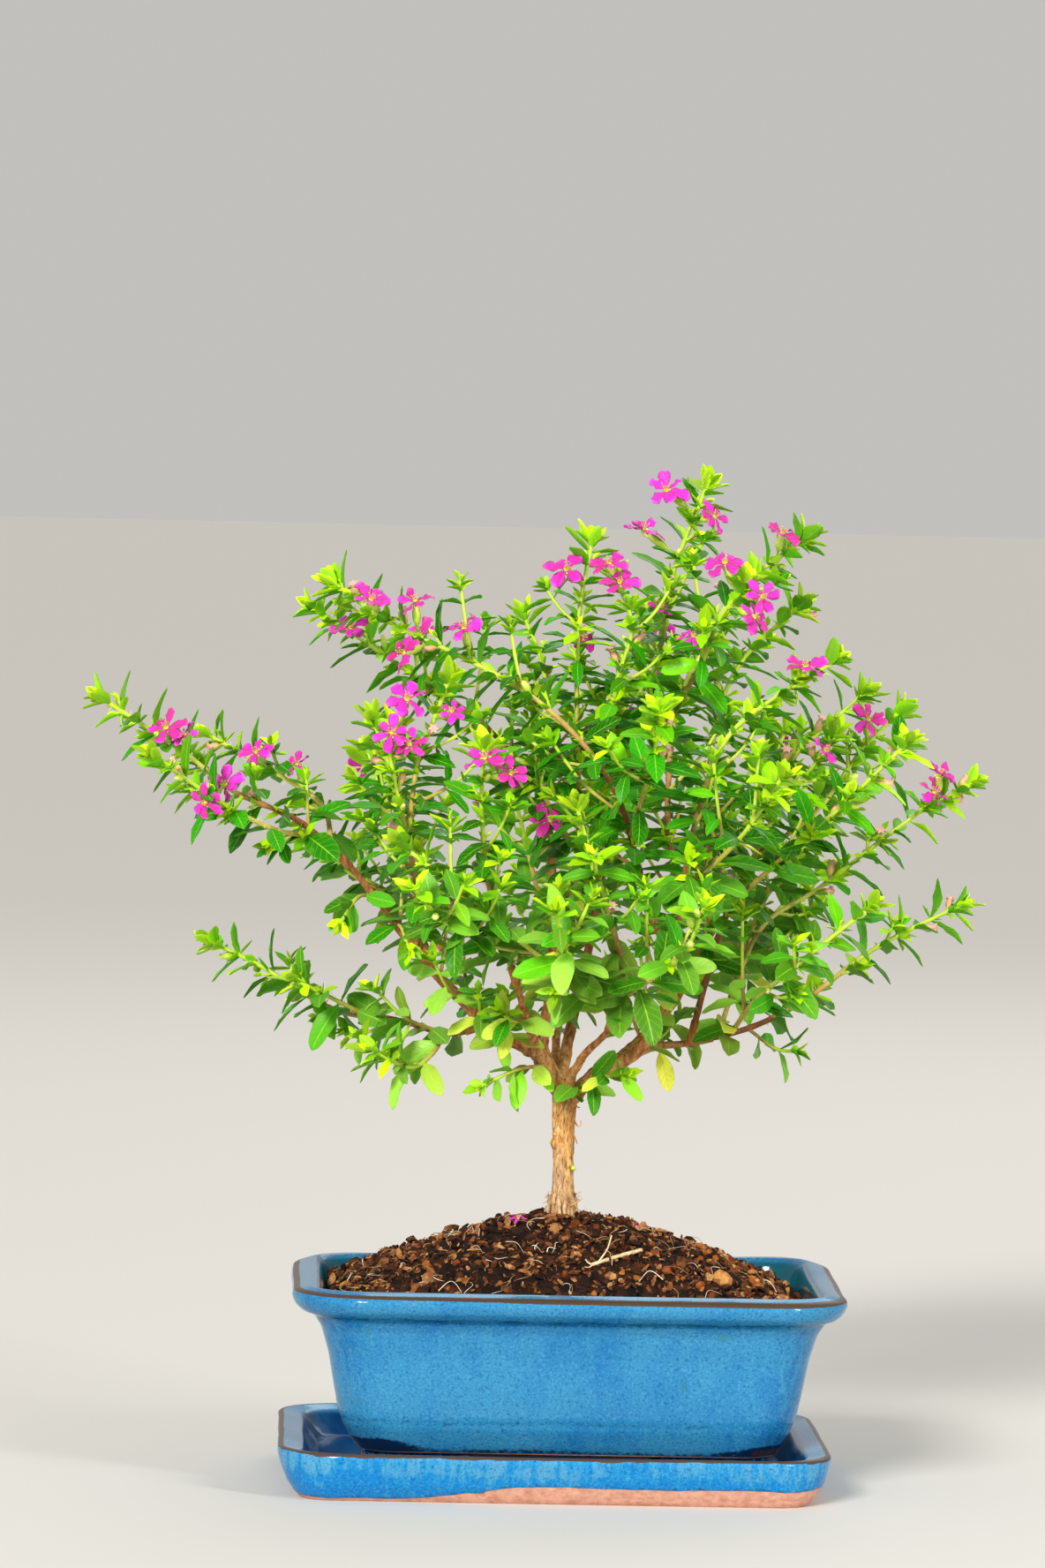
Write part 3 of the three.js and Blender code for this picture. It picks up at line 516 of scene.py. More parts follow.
def blades(stand, cut, thick, fold, wave, seed):
    """Leaf or petal blades as closed solids. A point at share t along and s across stands at
    foot + along·L·t - face·droop·L·t² + across·s·w(t) + face·(fold·|s|·w + a ripple - thickness)."""
    rng = np.random.default_rng(seed)
    foot, along, face = (stand[key][:, None, None] for key in ("foot", "along", "face"))
    length, half, droop = (stand[key][:, None, None] for key in ("length", "half", "droop"))
    (s, under), outline = cut
    t = np.array([share for share, _ in outline])[:, None]
    width = np.array([reach for _, reach in outline])[:, None]
    across = np.cross(face, along)
    reach = half * width
    ripples = np.sin(2 * math.pi * (1.7 * t + rng.random(half.shape)) + 2 * s) * s * s * wave * reach
    body = thick * np.minimum(1, 4 * width) * (1 - 0.7 * s * s)
    rise = fold * np.abs(s) * reach + ripples - under * body - droop * length * t * t
    points = foot + along * (length * t)[..., None] + across * (reach * s)[..., None]
    return points + face * rise[..., None], {"along": t, "across": s, "under": under}


# Settings


def length_setting(name, description, default):
    return FloatProperty(name=name, description=description, default=default, unit="LENGTH")


def colour(name, description, code):
    return FloatVectorProperty(name=name, description=description, subtype="COLOR", default=linear(code)[:3],
                               min=0, max=1)


class BONSAI_PG_ceramics(bpy.types.PropertyGroup):
    """Glaze and clay of the pot and the saucer."""

    glaze: colour("Pot glaze", "Colour of the pot where the glaze is thin", "#307ea8")
    # Cobalt also colours the painted shade under the pot's lip and at its corners
    cobalt: colour("Cobalt", "Colour of the pot's deeper patches", "#0c5d9d")
    pale_glaze: colour("Saucer glaze", "Colour of the saucer where the glaze is thin", "#468eb6")
    azure: colour("Azure", "Colour of the saucer's lower band", "#0675b7")
    # Also the colour of the painted shade in the pot's grooves
    pooled_and_shade: colour("Pooled glaze and painted shade", "Colour where the glaze ran together", "#0b2242")
    rim: colour("Rim", "Colour where the glaze broke on the rim", "#4a2f08")
    clay: colour("Clay", "Unglazed fired clay", "#d19d86")
    patch: length_setting("Patch", "Width of a cobalt patch", 0.02)
    fleck: length_setting("Fleck", "Width of a dark fleck", 0.0007)


class BONSAI_PG_soil(bpy.types.PropertyGroup):
    """Potting mix."""

    crumbs: IntProperty(name="Crumbs", description="Number of bark and peat crumbs", default=6000)
    granules: IntProperty(name="Granules", description="Number of clay granules", default=460)
    fibres: IntProperty(name="Fibres", description="Number of fine roots", default=230)


class BONSAI_PG_tree(bpy.types.PropertyGroup):
    """Foliage and flowers."""

    leaf_length: length_setting("Leaf length", "Length of a leaf at the foot of a shoot", 0.0145)
    tip_leaf_length: length_setting("Tip leaf length", "Length of a leaf near the tip", 0.0095)
    leaf_aspect: FloatProperty(name="Leaf aspect", description="Leaf width over length", default=0.36)
    spacing: length_setting("Leaf spacing", "Between leaf pairs at the foot of a shoot", 0.007)
    tip_spacing: length_setting("Tip spacing", "Between leaf pairs near the tip", 0.0048)
    leaf: colour("Leaf", "Grown leaf", "#248008")
    young: colour("Young leaf", "Leaf at a shoot's tip", "#cdee1c")
    petal: colour("Petal", "Open petal", "#e226ac")
    bark: colour("Bark", "Dry outer bark", "#b68040")


SETTINGS = {
    "bonsai_ceramics": BONSAI_PG_ceramics,
    "bonsai_soil": BONSAI_PG_soil,
    "bonsai_tree": BONSAI_PG_tree,
}


def settings(name):
    return getattr(bpy.context.scene, "bonsai_" + name)


# Materials


def feed(node, inputs):
    """Sets or links a node's inputs. An input is a value, another node's output, or another node, of
    which the first output in use is linked."""
    for key, value in dict(inputs).items():
        if isinstance(value, bpy.types.Node):
            value = next(output for output in value.outputs if output.enabled)
        if isinstance(value, bpy.types.NodeSocket):
            node.id_data.links.new(value, node.inputs[key])
        else:
            node.inputs[key].default_value = value


def add_node(tree, kind, inputs=(), stops=(), **options):
    """Adds a shader node with its options, ramp stops and inputs."""
    made = tree.nodes.new("ShaderNode" + kind)
    for key, value in options.items():
        setattr(made, key, value)
    if stops:
        elements = made.color_ramp.elements
        while len(elements) < len(stops):
            elements.new(1.0)
        for element, (at, code) in zip(elements, stops):
            element.position = at
            element.color = code if isinstance(code, tuple) else linear(code)
    feed(made, inputs)
    return made


def blank(name, **values):
    """A material, the function that adds nodes to it, and its shader, with the values that are the same
    all over the surface."""
    made = bpy.data.materials.new(name)
    made.use_nodes = True
    shader = made.node_tree.nodes["Principled BSDF"]
    feed(shader, {key.replace("_", " "): value for key, value in values.items()})
    return made, functools.partial(add_node, made.node_tree), shader


def solid(value):
    return (*value, 1.0)


def per_metre(size):
    """The noise scale for features of this size in millimetres."""
    return 1000 / size


def glaze(name, thin, strong, deep):
    """Reactive stoneware glaze, dipped and fired: glossy, cobalt that floats in patches, flecks and runs
    over a paler blue, dark where it ran together, brown where it broke on the rim, and matt clay where it
    was wiped off. Painted shade darkens the pot under its lip, in its grooves and at its corners, and
    darkens the inside of the pot and the saucer."""
    look = settings("ceramics")
    made, add, shader = blank(name, IOR=1.5, Specular_IOR_Level=0.2, Coat_Weight=0.1, Coat_Roughness=0.04)
    where = add("TexCoord").outputs["Object"]
    values = {
        key: add("Attribute", attribute_name=key).outputs["Fac"]
        for key in ("pool", "rim", "bare", "deep", "low", "streak")
    }
    floated = add("Mapping", {"Vector": where, "Scale": (1, 1, 0.5)})
    patches = add("TexNoise", {"Vector": floated, "Scale": 1 / look.patch, "Detail": 4.0, "Roughness": 0.6})
    drawn = add("Mapping", {"Vector": where, "Scale": (1, 1, 0.09)})
    drips = add("TexNoise", {"Vector": drawn, "Scale": per_metre(1.7), "Detail": 4.0, "Roughness": 0.65})
    drip = add("MapRange", {0: drips, 1: 0.3, 2: 0.7, 3: -0.2, 4: 0.2}, clamp=False)
    dripped = add("Math", {0: drip, 1: values["streak"], 2: patches}, operation="MULTIPLY_ADD")
    # Towards the strong colour: a lower band on the saucer, and painted shade under the pot's lip and at its
    # corners
    lowered = add("Math", {0: values["low"], 1: 0.22, 2: dripped}, operation="MULTIPLY_ADD")
    middle = tuple(math.sqrt(a * b) for a, b in zip(solid(thin), solid(strong)))
    depth = add("ValToRGB", {0: lowered}, stops=[(0.4, solid(thin)), (0.62, middle), (0.8, solid(strong))])
    flecks = add("TexNoise", {"Vector": where, "Scale": 1 / look.fleck, "Detail": 2.0, "Roughness": 0.6})
    dark = add("MapRange", {0: flecks, 1: 0.53, 2: 0.72, 3: 0.0, 4: 0.7})
    speckled = add("Mix", {0: dark, 6: depth, 7: linear("#0a467c")}, data_type="RGBA")
    pale = add("MapRange", {0: flecks, 1: 0.44, 2: 0.28, 3: 0.0, 4: 0.2})
    frosted = add("Mix", {0: pale, 6: speckled, 7: linear("#7ab8d2")}, data_type="RGBA")
    # Painted shade: the inside of the pot and the saucer takes a darker colour
    inner = add("Mix", {0: values["deep"], 6: frosted, 7: linear(deep)}, data_type="RGBA")
    spots = add("TexNoise", {"Vector": where, "Scale": per_metre(7), "Detail": 1.0})
    spot = add("MapRange", {0: spots, 1: 0.76, 2: 0.79, 3: 0.0, 4: 0.35})
    spotted = add("Mix", {0: spot, 6: inner, 7: linear("#2f6d4a")}, data_type="RGBA")
    edge = add("TexNoise", {"Vector": where, "Scale": per_metre(1.3), "Detail": 3.0})
    runs = add("MapRange", {0: edge, 1: 0.3, 2: 0.7, 3: -0.28, 4: 0.28})
    # Glaze that ran together, and painted shade in the pot's grooves under the lip and at the foot of the
    # wall
    pooled_and_shade = add("Math", {0: values["pool"], 1: runs}, operation="ADD")
    pooling_and_shade = add("MapRange", {0: pooled_and_shade, 1: 0.22, 2: 0.85})
    run = add("Mix", {0: pooling_and_shade, 6: spotted, 7: solid(look.pooled_and_shade)}, data_type="RGBA")
    broken = add("Math", {0: runs, 1: 0.4, 2: values["rim"]}, operation="MULTIPLY_ADD")
    breaking = add("MapRange", {0: broken, 1: 0.38, 2: 0.68, 3: 0.0, 4: 0.94})
    rim = add("Mix", {0: breaking, 6: run, 7: solid(look.rim)}, data_type="RGBA")
    grain = add("TexNoise", {"Vector": where, "Scale": per_metre(2.5), "Detail": 6.0, "Roughness": 0.65})
    clay = add("ValToRGB", {0: grain}, stops=[(0.3, "#b67c68"), (0.55, solid(look.clay)), (0.75, "#d8aa96")])
    worn = add("Math", {0: runs, 1: 0.2, 2: values["bare"]}, operation="MULTIPLY_ADD")
    bare = add("MapRange", {0: worn, 1: 0.42, 2: 0.58})
    line = add("ValToRGB", {0: worn}, stops=[(0.25, (0, 0, 0, 1)), (0.42, (1, 1, 1, 1)), (0.6, (0, 0, 0, 1))])
    lined = add("Mix", {0: line, 6: rim, 7: linear("#6b4a35")}, data_type="RGBA")
    skin = add("Mix", {0: bare, 6: lined, 7: clay}, data_type="RGBA")
    dulled = add("Math", {0: breaking, 1: 0.3, 2: bare}, operation="MULTIPLY_ADD")
    rough = add("MapRange", {0: dulled, 3: 0.11, 4: 0.85})
    swell = add("TexNoise", {"Vector": where, "Scale": per_metre(6), "Detail": 2.0})
    peel = add("Bump", {"Height": swell, "Strength": 0.06, "Distance": 0.0006})
    pores = add("Bump", {"Height": grain, "Strength": bare, "Distance": 0.0004, "Normal": peel})
    feed(shader, {"Base Color": skin, "Roughness": rough, "Normal": pores})
    return made


def leaf_wax():
    """Living cuphea leaf, a waxy blade: dark glossy green above with a pale midrib, side veins and edge,
    and a dull grey-green underside. Young leaves are thin and yellow-green."""
    look = settings("tree")
    made, add, shader = blank("Cuphea leaf", IOR=1.45, Specular_IOR_Level=0.15, Subsurface_Weight=0.2,
                              Subsurface_Scale=0.0015, Subsurface_Radius=(0.5, 1.0, 0.15))
    where = add("TexCoord").outputs["Object"]
    age, shade, along, across, under, fade = (
        add("Attribute", attribute_name=key).outputs["Fac"]
        for key in ("age", "shade", "along", "across", "under", "fade")
    )
    grown = add("ValToRGB", {0: age},
                stops=[(0.0, solid(look.young)), (0.3, "#b2e60a"), (0.6, "#5eb40a"), (0.9, solid(look.leaf))])
    paled = add("ValToRGB", {0: fade}, stops=[(0.0, "#86c03a"), (0.6, "#a8d450"), (0.95, "#e2e44a")])
    yellow = add("Mix", {0: fade, 6: grown, 7: paled}, data_type="RGBA")
    tone = add("MapRange", {0: shade, 3: 0.48, 4: 1.5})
    toned = add("HueSaturation", {"Value": tone, "Color": yellow})
    off = add("Math", {0: across}, operation="ABSOLUTE")
    slope = add("Math", {0: off, 1: -0.22, 2: along}, operation="MULTIPLY_ADD")
    waves = add("Math", {0: slope, 1: 46.0}, operation="MULTIPLY")
    comb = add("Math", {0: waves}, operation="SINE")
    veins = add("MapRange", {0: comb, 1: 0.72, 2: 1.0, 3: 0.0, 4: 0.24})
    veined = add("Mix", {0: veins, 6: toned, 7: linear("#78c62c")}, data_type="RGBA")
    ribs = add("MapRange", {0: off, 1: 0.08, 2: 0.02, 3: 0.0, 4: 0.55})
    ribbed = add("Mix", {0: ribs, 6: veined, 7: linear("#a8dc34")}, data_type="RGBA")
    rims = add("MapRange", {0: off, 1: 0.9, 2: 1.0, 3: 0.0, 4: 0.4})
    rimmed = add("Mix", {0: rims, 6: ribbed, 7: linear("#66ba28")}, data_type="RGBA")
    below = add("MapRange", {0: under, 1: 0.5, 2: 0.9, 3: 0.0, 4: 0.6})
    back = add("Mix", {0: below, 6: rimmed, 7: linear("#6ba62e")}, data_type="RGBA")
    rough = add("MapRange", {0: under, 3: 0.32, 4: 0.65})
    cells = add("TexNoise", {"Vector": where, "Scale": per_metre(1.1), "Detail": 2.0})
    height = add("Math", {0: veins, 1: -2.0, 2: cells}, operation="MULTIPLY_ADD")
    relief = add("Bump", {"Height": height, "Strength": 0.25, "Distance": 0.0003})
    feed(shader, {"Base Color": back, "Roughness": rough, "Normal": relief})
    return made


def stem_skin():
    """Young cuphea stem: yellow-green with pale hairs, turning to reddish brown wood lower down."""
    made, add, shader = blank("Cuphea stem", IOR=1.45)
    where = add("TexCoord").outputs["Object"]
    wood, hair = (add("Attribute", attribute_name=key).outputs["Fac"] for key in ("wood", "hair"))
    mottle = add("TexNoise", {"Vector": where, "Scale": per_metre(1.5), "Detail": 4.0})
    uneven = add("Math", {0: mottle, 1: 0.5, 2: wood}, operation="MULTIPLY_ADD")
    base = add("ValToRGB", {0: uneven},
               stops=[(0.2, "#b6d436"), (0.45, "#bdbb4c"), (0.75, "#b0854a"), (1.0, "#93562e")])
    haired = add("Mix", {0: hair, 6: base, 7: linear("#dfe8b0")}, data_type="RGBA")
    rough = add("MapRange", {0: uneven, 3: 0.42, 4: 0.8})
    relief = add("Bump", {"Height": mottle, "Strength": 0.5, "Distance": 0.0003})
    feed(shader, {"Base Color": haired, "Roughness": rough, "Normal": relief})
    return made


def calyx_skin():
    """Cuphea calyx tube: fleshy and yellow-green, flushed where it opens, tan and papery once spent."""
    made, add, shader = blank("Cuphea calyx", IOR=1.45, Roughness=0.5, Subsurface_Weight=0.15,
                              Subsurface_Scale=0.002, Subsurface_Radius=(0.6, 1.0, 0.2))
    where = add("TexCoord").outputs["Object"]
    blush, along = (add("Attribute", attribute_name=key).outputs["Fac"] for key in ("blush", "along"))
    green = add("ValToRGB", {0: along}, stops=[(0.1, "#8fbf2c"), (0.6, "#b9d640"), (1.0, "#dde27a")])
    spent = add("ValToRGB", {0: along}, stops=[(0.1, "#b8b24a"), (0.5, "#d9a86a"), (1.0, "#e2a7a0")])
    mixed = add("Mix", {0: blush, 6: green, 7: spent}, data_type="RGBA")
    mottle = add("TexNoise", {"Vector": where, "Scale": per_metre(0.8), "Detail": 3.0})
    tone = add("MapRange", {0: mottle, 3: 0.75, 4: 1.25})
    toned = add("HueSaturation", {"Value": tone, "Color": mixed})
    relief = add("Bump", {"Height": mottle, "Strength": 0.4, "Distance": 0.0002})
    feed(shader, {"Base Color": toned, "Normal": relief})
    return made


def petal_silk():
    """Fresh cuphea petal: thin, crinkled and silky, magenta with darker veins and a pale throat."""
    look = settings("tree")
    made, add, shader = blank("Cuphea petal", IOR=1.4, Roughness=0.5, Sheen_Weight=0.1, Sheen_Roughness=0.4,
                              Subsurface_Weight=0.2, Subsurface_Scale=0.002,
                              Subsurface_Radius=(1.0, 0.3, 0.8))
    where = add("TexCoord").outputs["Object"]
    shade, along, across = (
        add("Attribute", attribute_name=key).outputs["Fac"] for key in ("shade", "along", "across")
    )
    length = add("ValToRGB", {0: along},
                 stops=[(0.0, "#f0dc9c"), (0.1, "#cc2f92"), (0.35, "#da24a0"), (0.85, solid(look.petal)),
                        (1.0, "#f254c4")])
    fans = add("Math", {0: across, 1: 19.0}, operation="MULTIPLY")
    comb = add("Math", {0: fans}, operation="COSINE")
    veins = add("MapRange", {0: comb, 1: 0.55, 2: 1.0, 3: 0.0, 4: 0.35})
    veined = add("Mix", {0: veins, 6: length, 7: linear("#a81480")}, data_type="RGBA")
    hue = add("MapRange", {0: shade, 3: 0.475, 4: 0.515})
    tone = add("MapRange", {0: shade, 3: 1.12, 4: 0.86})
    toned = add("HueSaturation", {"Hue": hue, "Value": tone, "Color": veined})
    crinkle = add("TexNoise", {"Vector": where, "Scale": per_metre(1.0), "Detail": 2.0})
    height = add("Math", {0: veins, 1: -1.5, 2: crinkle}, operation="MULTIPLY_ADD")
    relief = add("Bump", {"Height": height, "Strength": 0.5, "Distance": 0.0003})
    feed(shader, {"Base Color": toned, "Normal": relief})
    return made


def stamen_skin():
    """Stamens and throat: moist yellow tissue, greener in the tube and tan at the anthers."""
    made, add, shader = blank("Cuphea stamen", Roughness=0.45, IOR=1.4)
    along = add("Attribute", attribute_name="along").outputs["Fac"]
    ramp = add("ValToRGB", {0: along},
               stops=[(0.0, "#b9c43a"), (0.5, "#e8d34a"), (0.8, "#f0e2a0"), (1.0, "#c98a2a")])
    feed(shader, {"Base Color": ramp})
    return made


def bark_cork():
    """Thin dry cuphea bark: ochre-tan plates that split lengthwise over darker reddish furrows, greyer
    towards the soil."""
    look = settings("tree")
    made, add, shader = blank("Cuphea bark", IOR=1.4)
    where = add("TexCoord").outputs["Object"]
    furrow, wood = (add("Attribute", attribute_name=key).outputs["Fac"] for key in ("furrow", "wood"))
    stretched = add("Mapping", {"Vector": where, "Scale": (1, 1, 0.28)})
    plates = add("TexNoise", {"Vector": stretched, "Scale": per_metre(1.25), "Detail": 6.0,
                              "Roughness": 0.65})
    broad = add("TexNoise", {"Vector": where, "Scale": per_metre(9), "Detail": 2.0})
    dry = add("ValToRGB", {0: plates},
              stops=[(0.28, "#805228"), (0.42, solid(look.bark)), (0.58, "#d4a866"), (0.74, "#e6cb98")])
    red = add("ValToRGB", {0: plates}, stops=[(0.3, "#74401e"), (0.5, "#c27a40"), (0.75, "#e4aa6c")])
    reds = add("Math", {0: broad, 1: 0.9, 2: wood}, operation="MULTIPLY_ADD")
    redness = add("MapRange", {0: reds, 1: 0.5, 2: 1.2})
    mixed = add("Mix", {0: redness, 6: dry, 7: red}, data_type="RGBA")
    weather = add("MapRange", {0: wood, 1: -0.15, 2: -0.55, 3: 0.0, 4: 0.6})
    greyed = add("HueSaturation", {"Saturation": 0.62, "Value": 0.72, "Color": mixed})
    aged = add("Mix", {0: weather, 6: mixed, 7: greyed}, data_type="RGBA")
    cracks = add("MapRange", {0: furrow, 1: 0.25, 2: 1.0, 3: 0.0, 4: 0.8})
    cracked = add("Mix", {0: cracks, 6: aged, 7: linear("#4a2a16")}, data_type="RGBA")
    rough = add("MapRange", {0: plates, 3: 0.95, 4: 0.7})
    relief = add("Bump", {"Height": plates, "Strength": 0.9, "Distance": 0.0006})
    feed(shader, {"Base Color": cracked, "Roughness": rough, "Normal": relief})
    return made


def earth(name, stops, grit):
    """Potting mix: damp peat, shredded bark or fired clay, dull and gritty, from dark to pale by `tone`.
    Cells the size of its grit have a tone and a height of their own, so it looks crumbled."""
    made, add, shader = blank(name, IOR=1.4, Specular_IOR_Level=0.25)
    where = add("TexCoord").outputs["Object"]
    tone = add("Attribute", attribute_name="tone").outputs["Fac"]
    cells = add("TexVoronoi", {"Vector": where, "Scale": per_metre(2.2 * grit), "Randomness": 1.0})
    cell = add("SeparateColor", {0: cells.outputs["Color"]})
    grain = add("TexNoise", {"Vector": where, "Scale": per_metre(grit), "Detail": 5.0, "Roughness": 0.7})
    shift = add("MapRange", {0: grain, 3: -0.2, 4: 0.2})
    celled = add("Math", {0: cell, 1: 0.22, 2: shift}, operation="MULTIPLY_ADD")
    uneven = add("Math", {0: tone, 1: celled}, operation="ADD")
    ramp = add("ValToRGB", {0: uneven}, stops=stops)
    rough = add("MapRange", {0: grain, 3: 0.98, 4: 0.72})
    lumps = add("Bump", {"Height": cells.outputs["Distance"], "Strength": 0.7, "Distance": 0.0007},
                invert=True)
    relief = add("Bump", {"Height": grain, "Strength": 0.8, "Distance": 0.0005, "Normal": lumps})
    feed(shader, {"Base Color": ramp, "Roughness": rough, "Normal": relief})
    return made


def moulded_mesh():
    """Black polyethylene screen, injection moulded: dull, with a faint flow grain."""
    made, add, shader = blank("Polyethylene mesh", IOR=1.51)
    where = add("TexCoord").outputs["Object"]
    grain = add("TexNoise", {"Vector": where, "Scale": per_metre(0.6), "Detail": 3.0})
    ramp = add("ValToRGB", {0: grain}, stops=[(0.3, "#15181b"), (0.7, "#2a2f34")])
    rough = add("MapRange", {0: grain, 3: 0.45, 4: 0.7})
    relief = add("Bump", {"Height": grain, "Strength": 0.3, "Distance": 0.0002})
    feed(shader, {"Base Color": ramp, "Roughness": rough, "Normal": relief})
    return made


# Pieces


class BONSAI_OT_saucer(bpy.types.Operator):
    """Glazed saucer: flared walls, a sloping lip and a wiped clay band round its foot"""

    bl_idname = "bonsai.saucer"
    bl_label = "Saucer"

    def execute(self, context):
        levels = np.vstack([profile(SAUCER_LEVELS, 0.45, 2), (34, 4, 5), (54.5, 0.4, 5)])
        rings = tray(levels, SAUCER_HALF, 0, TRAY_TURNS)
        outside = (np.arange(len(levels)) <= np.argmax(levels[:, 2]))[:, None]
        inset = levels[:, 0, None]
        x, y, z = rings[..., 0], rings[..., 1], rings[..., 2]
        around = rings * [1, 1, 0]
        # The wiped band is high from the front's middle to the right, and low elsewhere
        high = smooth(-42, -8, x + 4 * ripple(around, 9, 13)) * smooth(-20, -40, y)
        high = np.maximum(high, smooth(60, 66, x) * smooth(0, -30, y))
        band = 0.8 + 4.0 * high + 0.3 * ripple(around, 30, 3) + 0.15 * ripple(around, 7, 4)
        bare = np.where(outside, smooth(0.35, -0.35, z - band), 0)
        wander = 0.3 * ripple(around, 24, 5) + 0.22 * ripple(around, 5, 10)
        rim = np.where(outside, smooth(12.3, 12.8, z + wander), smooth(1.9, 1.1, inset + wander))
        pool = np.where(outside, 0.35 * smooth(1.4, 0.3, z - band) * (1 - bare), 0.1)
        low = outside * 1.3 * smooth(9.0, 6.4, z + 0.8 * ripple(around, 18, 6) + 0.4 * ripple(around, 5, 9))
        # Painted shade: the saucer's inside is coloured dark navy, in soft clouds
        clouds = mix(0.75, 0.97, smooth(-1, 1, ripple(around, 12, 15)))
        deep = np.where(outside, 0, smooth(12.8, 10.8, z) * clouds)
        # Glaze stands a little proud of the wiped clay, which has a step half-way up
        proud = 0.22 * (1 - bare) * outside * smooth(0, 1, z) + 0.15 * high * smooth(2.0, 2.6, z)
        out = unit(around)
        rings = rings + out * (proud + 0.2 * ripple(rings, 45, 7))[..., None]
        rings[..., 2] = np.where(z < 0.05, z, z + 0.12 * ripple(around, 50, 8) * smooth(9, 12, z))
        skin = Skin()
        skin.add(rings, bare=bare, rim=rim, pool=pool, low=low, deep=deep, streak=outside * 1.5)
        look = settings("ceramics")
        # The last colour is the painted shade inside the saucer
        material = glaze("Stoneware glaze, saucer", look.pale_glaze, look.azure, "#062c5c")
        skin.place("saucer_glazed", [material], "glaze", "saucer")
        return {"FINISHED"}


BEAD = np.array([48.0, -48.2, 46.5])


def corner_foot(sign_x, sign_y):
    """Rings of one corner foot: an L with a round outer corner, from the saucer up into the pot."""
    half_x, half_y = (half - FOOT_INSET for half in POT_HALF)
    span_x, span_y = FOOT_SPAN
    radius = 10.0
    arc = np.linspace(0, math.pi / 2, 13)
    outer = np.stack([half_x - radius + radius * np.cos(arc), half_y - radius + radius * np.sin(arc)], -1)
    outline = np.array([
        (half_x, half_y - span_y), *outer, (half_x - span_x, half_y), (half_x - span_x, half_y - FOOT_WALL),
        (half_x - FOOT_WALL, half_y - FOOT_WALL), (half_x - FOOT_WALL, half_y - span_y),
    ])
    outline = outline * [sign_x, sign_y]
    if sign_x * sign_y < 0:
        outline = outline[::-1]
    middle = outline.mean(axis=0)
    levels = [(SAUCER_FLOOR + GAP, 0.985), (SAUCER_FLOOR + GAP + 0.5, 1.0), (8, 1.0), (10, 1.0), (12.4, 1.0)]
    rings = [
        np.column_stack([middle + (outline - middle) * share, np.full(len(outline), z)])
        for z, share in levels
    ]
    return np.stack(rings) + [POT_SHIFT, 0, 0]


